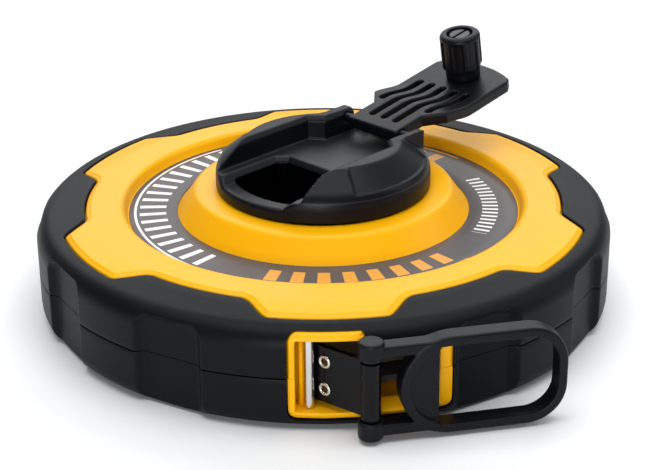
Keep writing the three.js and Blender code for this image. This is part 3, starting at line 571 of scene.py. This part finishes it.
def cover_plate():
    """The upper shell's yellow top: lobed plate, lip, label groove and cone, in one section."""
    raise_by = 0.12
    steps = [(0.0, 0.95), (-0.04, 0.75), (-0.16, 0.55), (-0.36, 0.40), (-0.62, 0.30),
             (-0.95, 0.17), (-1.15, 0.05), (-1.28, -0.06), (-1.45, -raise_by), (-1.75, -raise_by)]
    edge = [("edge", 0.0, 24.0)] + [("edge", offset, below_top(drop)) for offset, drop in steps]
    inner = 60.4
    plate = [((share, inner, -1.75), 0, below_top(-raise_by)) for share in (0.8, 0.55, 0.3, 0.1)]
    flat = [("circle", r, TOP_Z + raise_by) for r in (inner, 58.5, 56.2, 55.2)]
    lip = [("circle", r, z + raise_by) for r, z in arc(54.6, TOP_Z - 1.8, 1.8, 90, 168, 7)]
    groove = [("circle", r, z) for r, z in (
        (52.55, 25.35), (52.3, 24.75), (52.15, 24.52), (51.9, 24.45), (45.5, 24.45),
        (38.9, 24.45), (38.65, 24.55), (38.4, 24.85))]
    cone = [("circle", r, z) for r, z in (
        (37.9, 25.55), (36.5, 27.5), (35.2, 29.3), (34.75, 29.95), (34.45, 30.35), (34.1, 30.66),
        (33.65, 30.87), (33.1, 30.97), (32.4, 31.0), (30.0, 31.0), (27.8, 31.0), (27.45, 30.92),
        (27.3, 30.7), (27.3, 29.1), (27.6, 28.9), (32.8, 28.9), (36.7, 22.6), (37.2, 22.5),
        (54.0, 22.5), (61.0, 22.5))]
    section = edge + plate + flat + lip + groove + cone
    columns = lobed_columns(lobed_angles(1.5, 0.4), section)
    add_object("cover_plate", *closed_grid(columns), YELLOW, "case", "yellow_plastic",
               ["upper_shell"])


RECESS_DEPTH, RECESS_SLANT = 2.3, 1.6
RECESS_HALF, RECESS_CORNER, RECESS_TOP = 8.0, 2.6, 23.1
MOUTH_RECESS = 8
RECESS_ANGLES = [FIRST_LOBE + i * 30 * DEG for i in range(12) if i != MOUTH_RECESS]


def grip_angles():
    """Azimuths all round, close together at the slanted sides of the recesses."""
    pieces = []
    for i in range(12):
        middle = FIRST_LOBE + i * 30 * DEG
        for low, high, gap in ((-15, -8.2, 0.85), (-8.2, -3.0, 0.22), (-3.0, 3.0, 1.0),
                               (3.0, 8.2, 0.22), (8.2, 15, 0.85)):
            count = max(1, round((high - low) / gap))
            pieces.append(middle + np.linspace(low, high, count, endpoint=False) * DEG)
    return np.concatenate(pieces)


def press_recesses(columns):
    """Moves the side wall in to the flat floors of the grip recesses."""
    x, y, z = columns[..., 0], columns[..., 1], columns[..., 2]
    radius, angle = np.hypot(x, y), np.arctan2(y, x)
    pressed = radius.copy()
    for middle in RECESS_ANGLES:
        away = (angle - middle + math.pi) % TAU - math.pi
        near = np.abs(away) < 12 * DEG
        across = 75.0 * np.tan(np.clip(away, -0.3, 0.3))
        qx = np.abs(across) - (RECESS_HALF - RECESS_CORNER)
        qz = z - (RECESS_TOP - RECESS_CORNER)
        outside = np.hypot(np.maximum(qx, 0), np.maximum(qz, 0))
        distance = outside + np.minimum(np.maximum(qx, qz), 0) - RECESS_CORNER
        rise = smooth_max(distance, 0, 0.9) * (RECESS_DEPTH / RECESS_SLANT)
        floor = CASE_RADIUS - RECESS_DEPTH + rise
        limit = floor / np.cos(away)
        new = smooth_min(radius, limit, 0.7)
        keep = near & (radius > 71.8)
        pressed = np.where(keep, np.minimum(pressed, new), pressed)
    scale = pressed / radius
    return np.stack([x * scale, y * scale, z], -1)


def prism(near, far):
    """A closed mesh between two loops with the same number of points."""
    count = len(near)
    faces = [tuple(range(count)), tuple(range(2 * count - 1, count - 1, -1))]
    faces += [((i + 1) % count, i, i + count, (i + 1) % count + count) for i in range(count)]
    return near + far, faces


def mouth_cutter(points):
    """An outline in X and Z as a prism along Y, from outside the case to inside its wall."""
    return prism([(x, -CASE_RADIUS - 6, z) for x, z in points], [(x, -60, z) for x, z in points])


FRAME_RADIUS = 75.75
LIP_LEFT, LIP_LOW, LIP_INNER, LIP_TOP, LIP_CORNER = 9.5, 22.4, 74.1, 24.6, 1.6


def lipped_mouth():
    """Cutters for the rubber round the mouth: the opening without the lip over its right half,
    and the room behind that lip."""
    gaps = (-0.3, 0.3, -0.3, 0.3)
    left, right, bottom, top = [side + gap for side, gap in zip(MOUTH, gaps)]
    corner = 2.7
    points = [(right, LIP_LOW), (LIP_LEFT, LIP_LOW)]
    points += arc(LIP_LEFT - LIP_CORNER, top - LIP_CORNER, LIP_CORNER, 0, 90, 8)
    points += arc(left + corner, top - corner, corner, 90, 180, 8)
    points += arc(left + corner, bottom + corner, corner, 180, 270, 8)
    points += arc(right - corner, bottom + corner, corner, 270, 360, 8)
    opening = mouth_cutter(points)
    across = np.linspace(LIP_LEFT - 1, right, 24)
    plan = [(x, -math.sqrt(LIP_INNER ** 2 - x * x)) for x in across]
    plan += [(right, -60), (LIP_LEFT - 1, -60)]
    room = prism([(x, y, LIP_TOP) for x, y in plan], [(x, y, LIP_LOW - 0.3) for x, y in plan])
    return opening, room


def rounded_rectangle(x0, x1, z0, z1, corner, steps):
    points = []
    for cx, cz, start in ((x1 - corner, z1 - corner, 0), (x0 + corner, z1 - corner, 90),
                          (x0 + corner, z0 + corner, 180), (x1 - corner, z0 + corner, 270)):
        points += arc(cx, cz, corner, start, start + 90, steps)
    return points


def grips():
    """The black rubber round the rim, in two halves, with the mouth cut out of both."""
    angles = grip_angles()
    gap, drop = 0.35, 0.12
    rounding, shoulder = 5.5, 71.4
    middle = CASE_RADIUS - rounding
    height = float(top_height(middle)) - drop - rounding / math.cos(math.atan(SLOPE))
    low, inner = PARTING_Z + 0.1, 72.75
    side = [(CASE_RADIUS - 0.4, low), (CASE_RADIUS - 0.12, low + 0.1), (CASE_RADIUS, low + 0.4)]
    side += [(CASE_RADIUS, z) for z in (15.0, 16.6, 18.0, 18.7, 19.4, 20.1)]
    round_ = arc(middle, height, rounding, 0, 90 - SLOPE_DEGREES, 22)
    section = [("circle", r, z) for r, z in side + round_]
    section += [((share, shoulder, gap + 0.6), 0, below_top(drop))
                for share in (0.12, 0.4, 0.7, 1.0)]
    section += [("edge", gap + 0.28, below_top(drop + 0.06)),
                ("edge", gap + 0.1, below_top(drop + 0.2)),
                ("edge", gap, below_top(drop + 0.45)), ("edge", gap, 25.1),
                ((0.5, inner - 1.8, gap), 0, 24.95), ("circle", inner - 1.9, 24.95),
                ("circle", inner, 22.5), ("circle", inner, low)]
    upper = add_object("grip_upper", *closed_grid(press_recesses(lobed_columns(angles, section))),
                       RUBBER, "case", "black_rubber", ["upper_grip"])
    high = PARTING_Z - 0.1
    section = [("circle", inner, high), ("circle", inner, 4.0), ("circle", inner - 1.9, 2.05),
               ((0.5, inner - 1.9, gap), 0, 2.05), ("edge", gap, 1.9), ("edge", gap, 0.5),
               ("edge", gap + 0.15, 0.12), ("edge", gap + 0.5, 0.0)]
    section += [((share, shoulder, gap + 0.5), 0, 0.0) for share in (0.6, 0.2)]
    foot = 4.5
    fillet = arc(CASE_RADIUS - foot, foot, foot, -90, 0, 14)
    sides = [(CASE_RADIUS, z) for z in (6.5, 9.0, 11.5, high - 0.4)]
    sides += [(CASE_RADIUS - 0.12, high - 0.1), (CASE_RADIUS - 0.4, high)]
    section += [("circle", r, z) for r, z in fillet + sides]
    lower = add_object("grip_lower", *closed_grid(press_recesses(lobed_columns(angles, section))),
                       RUBBER, "case", "black_rubber", ["lower_grip"])
    opening, room = lipped_mouth()
    cut_with(upper, *room)
    for grip in (upper, lower):
        cut_with(grip, *opening)
        sharpen(grip, 40)


def mouth_frame():
    """The yellow frame round the mouth: a bar swept round the opening, its face on the case's
    round, in two halves that meet at the parting."""
    left, right, bottom, top = MOUTH
    steps = 12
    outer = rounded_rectangle(left, right, bottom, top, MOUTH_CORNER, steps)
    inner = rounded_rectangle(left + 1.64, right - 3.14, bottom + 1.74, top - 1.84, 0.5, steps)

    def face(z):
        """Radius of the frame's face at a height: upright, then leaning in at top and bottom."""
        lean_top = np.clip((z - 21.6) / 4.0, 0, 1.2)
        lean_bottom = np.clip((5.6 - z) / 3.6, 0, 1.2)
        return FRAME_RADIUS - 1.7 * lean_top ** 2 - 1.3 * lean_bottom ** 2

    counts = [math.ceil(math.dist(a, b) / 0.8) if math.dist(a, b) > 3 else 1
              for a, b in zip(outer, outer[1:] + outer[:1])]

    def spread(points):
        """More points along the straight sides, so that they follow the case's round."""
        made = []
        for (ax, az), (bx, bz), count in zip(points, points[1:] + points[:1], counts):
            made += [(ax + (bx - ax) * i / count, az + (bz - az) * i / count)
                     for i in range(count)]
        return np.array(made)

    outer, inner = spread(outer), spread(inner)
    rows = []
    back = 69.6
    # Each row's share of the way in, and its depth behind the face. None is the frame's back.
    for share, depth in ((0.0, None), (0.0, 1.2), (0.0, 0.62), (0.06, 0.3), (0.16, 0.1), (0.32, 0.0),
                         (0.5, 0.0), (0.68, 0.0), (0.86, 0.05), (0.95, 0.16), (1.0, 0.4),
                         (1.0, None)):
        flat = outer * (1 - share) + inner * share
        radius = np.full(len(flat), back) if depth is None else face(flat[:, 1]) - depth
        behind = (flat[:, 0] > LIP_LEFT - 0.7) & (flat[:, 1] > LIP_LOW - 0.4)
        radius = np.where(behind, np.minimum(radius, LIP_INNER - 0.2), radius)
        flat[:, 1] = np.where(behind, np.minimum(flat[:, 1], LIP_TOP - 0.15), flat[:, 1])
        y = -np.sqrt(radius ** 2 - flat[:, 0] ** 2)
        rows.append(np.stack([flat[:, 0], y, flat[:, 1]], 1))
    points, faces = closed_grid(np.stack(rows, 1))
    for name, flip in (("mouth_frame_upper", 1), ("mouth_frame_lower", -1)):
        frame_half = add_object(name, points, faces, YELLOW, "case", "yellow_plastic")
        work = bmesh.new()
        work.from_mesh(frame_half.data)
        cut_point = Vector((0, 0, (PARTING_Z + 0.05 * flip) * MM))
        cut = bmesh.ops.bisect_plane(work, geom=work.verts[:] + work.edges[:] + work.faces[:],
                                     plane_co=cut_point, plane_no=(0, 0, flip), clear_inner=True)
        edges = [e for e in cut["geom_cut"] if isinstance(e, bmesh.types.BMEdge)]
        bmesh.ops.edgeloop_fill(work, edges=edges)
        bmesh.ops.recalc_face_normals(work, faces=work.faces)
        work.to_mesh(frame_half.data)
        work.free()
        sharpen(frame_half, 50)


def inner_case():
    """The upper case's inner wall, screw posts and guide post, mostly out of sight."""
    low = PARTING_Z + 0.05
    wall = turned("case_wall", [(71.0, low), (72.6, low), (72.6, 22.5), (70.7, 24.8), (62.0, 24.8),
                                (62.0, 22.55), (70.4, 22.55), (71.0, 22.0)], YELLOW, "case",
                  "yellow_plastic", ["upper_shell"], segments=180)
    left, right, bottom, top = MOUTH
    inset = 0.5
    cut_with(wall, *mouth_cutter(rounded_rectangle(left + inset, right - inset, bottom + inset,
                                                   top - inset, MOUTH_CORNER - inset, 8)))
    sharpen(wall)
    for lobe in (0, 1, 2, 3, 5):
        angle = FIRST_LOBE + lobe * math.pi / 3
        place = Matrix.Translation((66.2 * math.cos(angle) * MM, 66.2 * math.sin(angle) * MM, 0))
        post = turned(f"screw_post_{lobe + 1}", [(1.5, low), (2.9, low), (2.9, 22.6), (1.5, 22.6)],
                      YELLOW, "case", "yellow_plastic", ["upper_shell"], place, segments=32)
        sharpen(post)
    place = Matrix.Translation((-5.4 * MM, -70.95 * MM, 0))
    sill, lintel, post_radius = 4.2, 23.2, 0.7
    turned("guide_post", [(0, sill), (post_radius, sill), (post_radius, lintel), (0, lintel)],
           YELLOW, "case", "yellow_plastic", [], place, segments=24)
    plate = [(-8.4, sill), (-5.7, sill), (-5.7, lintel), (-8.4, lintel)]
    add_object("mouth_cheek", *prism([(x, -69.3, z) for x, z in plate],
                                     [(x, -68.8, z) for x, z in plate]),
               YELLOW, "case", "yellow_plastic")


def label():
    """The printed ring in the groove."""
    top = 24.85
    profile = [(38.9, top - 0.35), (51.75, top - 0.35), (51.8, top - 0.3), (51.8, top - 0.06),
               (51.72, top), (48.0, top), (45.0, top), (42.0, top), (38.98, top),
               (38.9, top - 0.06)]
    turned("label", profile, LABEL, "case", "label_film", ["label_ring"], segments=240)


# ---- Crank -----------------------------------------------------------------------------

HINGE_X, HINGE_Z = 21.1, 41.2
KNOB_X = 36.3
HUB_PLACE = Matrix.Rotation(HUB_ANGLE, 4, "Z")
HINGE_PLACE = HUB_PLACE @ Matrix.Translation((HINGE_X * MM, 0, HINGE_Z * MM))
ARM_PLACE = HINGE_PLACE @ Matrix.Rotation(-9.6 * DEG, 4, "Y")
KNOB_PLACE = ARM_PLACE @ Matrix.Translation((KNOB_X * MM, 0, -0.2 * MM))

HUB_RADIUS, HUB_SHOULDER, HUB_TOP = 28.5, 37.5, 43.3
CONE_RUN, CONE_RISE = 7.2, 5.8
NECK_RADIUS = 26.9
PANEL_FROM, PANEL_TO, PANEL_DEPTH, PANEL_LOW = 47 * DEG, 118 * DEG, 0.45, 38.3
TRAY_FLOOR, TRAY_HALF, TRAY_END = 36.8, 15.2, 9.5
SILL_TOP, SILL_START, CHANNEL_HALF, CHANNEL_START = 38.9, 24.4, 11.3, 12.5
TRAY_CHAMFER_Z, TRAY_CHAMFER_REACH = 42.2, 4.6
RIM_Z, POCKET_FLOOR = 34.6, 21.6
PAST_RIM = 33
DIAGONAL = 0.707
TRAY_OUTLINE = [(-PAST_RIM, -TRAY_HALF), (TRAY_END, -TRAY_HALF), (CHANNEL_START, -CHANNEL_HALF),
                (PAST_RIM, -CHANNEL_HALF), (PAST_RIM, CHANNEL_HALF), (CHANNEL_START, CHANNEL_HALF),
                (TRAY_END, TRAY_HALF), (-PAST_RIM, TRAY_HALF)]
# Where the bevel round the pocket's mouth meets the tray's floor
BEVEL_OUTLINE = [(-PAST_RIM, -12.95), (-5.34, -12.95), (-2.45, -10.06), (-2.45, 10.06),
                 (-5.34, 12.95), (-PAST_RIM, 12.95)]


def hub_field(x, y, z):
    """The hub, with the arm's hinge towards +X."""
    radius, half = np.hypot(x, y), np.abs(y)
    cone = (radius - HUB_RADIUS) * CONE_RISE + (z - HUB_SHOULDER) * CONE_RUN
    cone = cone / math.hypot(CONE_RUN, CONE_RISE)
    body = smooth_max(smooth_max(radius - HUB_RADIUS, cone, 2.2), z - HUB_TOP, 0.7)

    # Shallow panels in the shoulder, then the ears that hold the hinge pin
    azimuth = np.abs(np.arctan2(y, x))
    sector = np.maximum(PANEL_FROM - azimuth, azimuth - PANEL_TO) * radius
    panel = smooth_max(np.maximum(-(cone + PANEL_DEPTH), PANEL_LOW - z), sector, 0.3)
    body = smooth_max(body, -panel, 0.3)
    ear = np.maximum(slab(half, 10.3, 14.7), slab(z, 35.0, HUB_TOP))
    body = smooth_min(body, smooth_max(ear, slab(x, 12, 24), 0.8), 0.4)

    # The underside, and the neck that goes down through the case
    body = smooth_max(body, 31.4 - z, 0.5)
    body = np.minimum(body, smooth_max(radius - NECK_RADIUS, slab(z, 20.0, 32.0), 0.3))

    # The tray, with a chamfer along its top edges
    tray = polygon_distance(x, y, TRAY_OUTLINE)
    tray_floor = np.where(x > SILL_START, SILL_TOP, TRAY_FLOOR)
    body = smooth_max(body, -smooth_max(tray, tray_floor - z, 0.6), 0.4)
    chamfer = z - TRAY_CHAMFER_Z - np.maximum(tray, -TRAY_CHAMFER_REACH)
    body = smooth_max(body, chamfer * DIAGONAL, 0.3)

    # The bevel round the pocket's mouth, which runs out over the flat rim, and the pocket
    bevel = (polygon_distance(x, y, BEVEL_OUTLINE) + np.maximum(TRAY_FLOOR - z, 0)) * DIAGONAL
    blend = 0.3 + 1.1 * np.clip((radius - 26.0) / 1.5, 0, 1)
    body = smooth_max(body, -np.maximum(RIM_Z - z, bevel), blend)
    pocket = polygon_distance(x, y, POCKET_OUTLINE) + 0.05
    body = smooth_max(body, -smooth_max(pocket, POCKET_FLOOR - z, 0.5), 0.3)

    bore = np.maximum(np.hypot(x - HINGE_X, z - HINGE_Z) - 1.32, half - 13.6)
    return smooth_max(body, -bore, 0.2)


def pocket_outline():
    half, near, chamfer, radius = 11.6, -3.8, 2.1, 24.0
    angle = math.pi - math.asin(half / radius)
    points = [(near, half - chamfer), (near - chamfer, half)]
    points += [(radius * math.cos(a), radius * math.sin(a))
               for a in np.linspace(angle, TAU - angle, 17)]
    return points + [(near - chamfer, -half), (near, chamfer - half)]


POCKET_OUTLINE = pocket_outline()


def arm_outline():
    """The arm from its hinge: a neck, a wider blade and a round end."""
    root, end, end_radius, half, neck = -2.2, 44.7, 26.0, 13.3, 8.9
    neck_end, blade_start, corner_width, corner_length = 8.4, 13.4, 1.2, 2
    centre = end - end_radius
    angle = math.asin((half - corner_width) / end_radius)
    corner = centre + end_radius * math.cos(angle) - corner_length
    points = [(root, -neck), (neck_end, -neck), (blade_start, -half), (corner, -half)]
    points += [(centre + end_radius * math.cos(a), end_radius * math.sin(a))
               for a in np.linspace(-angle, angle, 17)]
    return points + [(corner, half), (blade_start, half), (neck_end, neck), (root, neck)]


ARM_OUTLINE = arm_outline()
STEP_START, STEP_LENGTH, STEP_DROP = 12.0, 12.0, 2.2
ARM_HALF_THICKNESS = 1.7
SLOT_END, SLOT_RADIUS = 28.3, 1.0
SLOTS = ((0.0, 2.1), (4.25, 2.1), (-4.25, 2.1), (8.5, 10.8), (-8.5, 10.8))  # middle, start


def arm_field(x, y, z):
    """The slotted arm from its hinge, with a step down towards the knob."""
    share = np.clip((x - STEP_START) / STEP_LENGTH, 0, 1)
    drop = STEP_DROP * share * share * (3 - 2 * share)
    sheet = (np.abs(z + drop) - ARM_HALF_THICKNESS) * 0.9
    edge = polygon_distance(x, y, ARM_OUTLINE)
    body = smooth_max(edge, sheet, 0.8)
    for middle, start in SLOTS:
        reach = (SLOT_END - start) / 2 - SLOT_RADIUS
        along = np.maximum(np.abs(x - (start + SLOT_END) / 2) - reach, 0)
        body = smooth_max(body, SLOT_RADIUS - np.hypot(along, y - middle), 0.4)
    body = smooth_max(body, 1.4 - np.hypot(x, z), 0.25)
    return smooth_max(body, 1.8 - np.hypot(x - KNOB_X, y), 0.2)


KNOB_RADIUS, KNOB_TOP, KNOB_WAIST, COLLAR_RADIUS = 5.75, 13.3, 2.2, 4.9
FLUTE_COUNT, FLUTE_TURN = 8, 9 * DEG


def knob_field(x, y, z):
    """The fluted knob on its collar, with a recess and a bore for its screw."""
    radius, angle = np.hypot(x, y), np.arctan2(y, x)
    turn = np.abs(((angle - FLUTE_TURN) * FLUTE_COUNT / TAU) % 1.0 - 0.5)
    flute = smooth_max(turn * TAU / FLUTE_COUNT * KNOB_RADIUS - 1.5, slab(z, 1.0, 11.7), 0.7)
    flute = smooth_max(flute, 5.2 - radius, 0.3)
    body = smooth_max(radius - KNOB_RADIUS, slab(z, KNOB_WAIST, KNOB_TOP), 1.5)
    body = smooth_max(body, -flute, 0.4)
    skirt = (radius - COLLAR_RADIUS) * 0.75 - (z - KNOB_WAIST) * 0.66
    body = smooth_max(body, skirt, 0.5)
    collar = smooth_max(radius - COLLAR_RADIUS, slab(z, 0.0, 3.5), 0.4)
    body = smooth_min(body, collar, 0.3)
    body = smooth_max(body, -np.maximum(radius - 3.6, 11.4 - z), 0.4)
    return smooth_max(body, 2.0 - radius, 0.2)


def crank():
    """Hub, arm, knob and hinge pin."""
    moulded("hub", hub_field, (-29.2, -29.2, 19.4), (29.2, 29.2, 44.0), 0.4, HUB, "spool",
            "black_plastic", ["crank_hub"], HUB_PLACE)
    moulded("arm", arm_field, (-2.8, -14.0, -4.5), (45.4, 14.0, 2.3), 0.3, BLACK, "arm",
            "black_plastic", ["crank_arm"], ARM_PLACE)
    moulded("knob", knob_field, (-6.3, -6.3, -0.6), (6.3, 6.3, 13.9), 0.2, BLACK, "knob",
            "black_plastic", ["crank_knob"], KNOB_PLACE, keep=0.4)
    across = Matrix.Rotation(-90 * DEG, 4, "X")
    profile = [(0, -13.3), *arc(1.0, -13.1, 0.2, -90, 0, 3), *arc(1.0, 13.1, 0.2, 0, 90, 3),
               (0, 13.3)]
    turned("hinge_pin", profile, BLACK, "spool", "black_pin", ["crank_hinge_pin"],
           HINGE_PLACE @ across, segments=40)


# ---- Hook -------------------------------------------------------------------------------

TAPE_PLACE = Matrix.Rotation(PATH_ANGLE, 4, "Z")
TAPE_LINE = -57.8
HOOK_PLACE = (TAPE_PLACE @ Matrix.Translation((56.7 * MM, TAPE_LINE * MM, TAPE_MIDDLE * MM))
              @ Matrix.Rotation(12.0 * DEG - PATH_ANGLE, 4, "Z"))


def ring_outline(inset, flat=None):
    """The ring's outline from its rod: round at the rod's end, or cut flat there."""
    half, right, corner = 12.5 - inset, 46.5 - inset, 9.5 - inset
    points = arc(right - corner, half - corner, corner, 0, 90, 12)
    if flat is None:
        points += arc(6.4 + 12.5, 0, half, 90, 270, 28)
    else:
        points += [(flat, half), (flat, -half)]
    return points + arc(right - corner, corner - half, corner, 270, 360, 12)


RING_BAR = 2.4


RING_OUTER, RING_INNER = ring_outline(0), ring_outline(RING_BAR)
RING_WINDOW = ring_outline(RING_BAR, 15.9)


def hook_field(x, y, z):
    """The finger ring from its rod: rim, web with its window, yoke and barrels."""
    inner = polygon_distance(x, z, RING_INNER)
    body = smooth_max(polygon_distance(x, z, RING_OUTER), np.abs(y) - 2.5, 0.8)
    body = smooth_max(body, -smooth_max(inner, 1.3 - np.abs(y), 0.3), 0.35)
    body = smooth_max(body, -polygon_distance(x, z, RING_WINDOW), 0.4)

    level, across = np.abs(z), np.hypot(x, y)
    yoke = smooth_max(slab(level, 8.7, 11.5), np.maximum(np.abs(y) - 2.2, slab(x, 0.0, 15.0)), 0.7)
    yoke = smooth_max(yoke, inner * -1.0 - 1.2, 0.2)
    body = smooth_min(body, yoke, 0.5)
    barrel = smooth_max(across - 3.0, slab(level, 7.9, 12.5), 0.7)
    body = smooth_min(body, barrel, 0.2)
    return smooth_max(body, -np.maximum(across - 1.05, z - 10.9), 0.15)


def hook():
    moulded("pull_ring", hook_field, (-3.4, -3.4, -13.2), (47.2, 3.4, 13.2), 0.32, BLACK, "hook",
            "black_plastic", ["hook_ring"], HOOK_PLACE, keep=0.4)


def small_parts():
    """The guide rollers and the tab's eyelets."""
    for side, x, y in (("left", -3.63, -72.55), ("right", 24.9, -68.1)):
        place = Matrix.Translation((x * MM, y * MM, 0))
        low, high, journal = 4.7, 22.7, 0.8
        turned(f"roller_{side}", [(0, low - journal), (journal, low - journal), (journal, low),
                                  (1.0, low), *arc(1.15, low + 0.15, 0.15, -90, 0, 3),
                                  (1.3, low + 0.4), (1.3, 13.7), (1.3, high - 0.4),
                                  *arc(1.15, high - 0.15, 0.15, 0, 90, 3), (1.0, high),
                                  (journal, high), (journal, high + journal), (0, high + journal)],
               STEEL, f"roller_{side}", "polished_steel", [f"mouth_roller_{side}"], place,
               segments=48)
    for where, sign in (("upper", 1), ("lower", -1)):
        face = 0.8
        place = (TAPE_PLACE @ Matrix.Translation((44.2 * MM, TAPE_LINE * MM,
                                                  (TAPE_MIDDLE + 3.6 * sign) * MM))
                 @ Matrix.Rotation(90 * DEG, 4, "X"))
        rim = [(r, -z) for r, z in arc(1.3, face + 0.02, 0.42, 180, 0, 10)]
        back = [(r, z) for r, z in arc(1.3, face + 0.02, 0.42, 0, 180, 10)]
        turned(f"eyelet_{where}_ring", [(0.88, -face)] + rim + [(1.14, -face + 0.05), (1.14, face)]
               + back + [(0.88, face)], EYELET, "tape_end", "eyelet_metal", [f"eyelet_{where}"],
               place, segments=40)


# ---- Everything --------------------------------------------------------------------------

cover_plate()
grips()
mouth_frame()
inner_case()
label()
crank()
hook()
small_parts()

rounded_copy("lower_shell", YELLOW, "case", 0.2)
rounded_copy("end_tab", TAB, "tape_end", 0.12)
rounded_copy("knob_screw", SCREW, "arm", 0.12)
rounded_copy("hook_pin", GLOSS, "hook", 0.15)

# The coil wears the tape darkened as painted shade.
FINISHES = {"spool_drum": SPOOL, "spool_upper_flange": SPOOL, "tape_coil": SHADED_COIL_TAPE,
            "spool_washer": NYLON, "tape_blade": TAPE}
for name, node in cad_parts.items():
    finish = FINISHES.get(name)
    if name.startswith("case_screw"):
        finish = SCREW
    if name.startswith("hub_screw"):
        finish = ZINC
    if finish:
        node.data.materials.clear()
        node.data.materials.append(finish)


# ---- Camera, floor and light ---------------------------------------------------------------

PITCH, ROLL = 24.286 * DEG, -0.4856 * DEG
FOCAL, IMAGE_WIDTH, SENSOR_WIDTH = 1698.1, 650, 36.0
forward = Vector((0, math.cos(PITCH), -math.sin(PITCH)))
upward = Vector((0, math.sin(PITCH), math.cos(PITCH)))
side = Vector((1, 0, 0))
right = side * math.cos(ROLL) + upward * math.sin(ROLL)
up = upward * math.cos(ROLL) - side * math.sin(ROLL)
camera = bpy.data.objects.new("camera", bpy.data.cameras.new("camera"))
camera.data.sensor_width = SENSOR_WIDTH
camera.data.lens = SENSOR_WIDTH * FOCAL / IMAGE_WIDTH
camera.data.clip_start = 0.01
camera.matrix_world = Matrix((
    (right.x, up.x, -forward.x, 0.35 * MM),
    (right.y, up.y, -forward.y, -418.0 * MM),
    (right.z, up.z, -forward.z, 204.4 * MM),
    (0, 0, 0, 1)))
bpy.context.scene.collection.objects.link(camera)
bpy.context.scene.camera = camera


def floor():
    mesh = bpy.data.meshes.new("floor")
    size = 6.0
    mesh.from_pydata([(-size, -size, 0), (size, -size, 0), (size, size, 0), (-size, size, 0)], [],
                     [(0, 1, 2, 3)])
    n = Nodes("floor")
    n.finish(Base_Color=rgb(0.93, 0.93, 0.93), Roughness=0.7, Specular_IOR_Level=0.1)
    mesh.materials.append(n.material)
    obj = bpy.data.objects.new("floor", mesh)
    bpy.context.scene.collection.objects.link(obj)
    obj.location.z = -0.2 * MM


def light(name, place, target, size, power):
    lamp = bpy.data.lights.new(name, "AREA")
    lamp.shape = "RECTANGLE"
    lamp.size, lamp.size_y = size
    lamp.energy = power
    obj = bpy.data.objects.new(name, lamp)
    obj.location = place
    obj.rotation_mode = "QUATERNION"
    obj.rotation_quaternion = (Vector(target) - Vector(place)).to_track_quat("-Z", "Y")
    bpy.context.scene.collection.objects.link(obj)


floor()
light("overhead", (0.0, -0.1, 1.1), (0, 0, 0), (1.2, 0.9), 11.0)
light("front", (-0.15, -1.3, 0.24), (0, 0, 0.02), (0.5, 0.3), 7.0)
light("right", (1.0, 0.1, 0.6), (0, 0, 0), (0.4, 0.8), 2.0)
light("back", (0.0, 2.1, 1.5), (0, 0, 0), (3.4, 1.8), 44.0)
world = bpy.data.worlds.new("studio")
world.use_nodes = True
world.node_tree.nodes["Background"].inputs["Color"].default_value = rgb(0.8, 0.9, 1.0)
world.node_tree.nodes["Background"].inputs["Strength"].default_value = 0.18
bpy.context.scene.world = world
bpy.context.scene.view_settings.view_transform = "Standard"
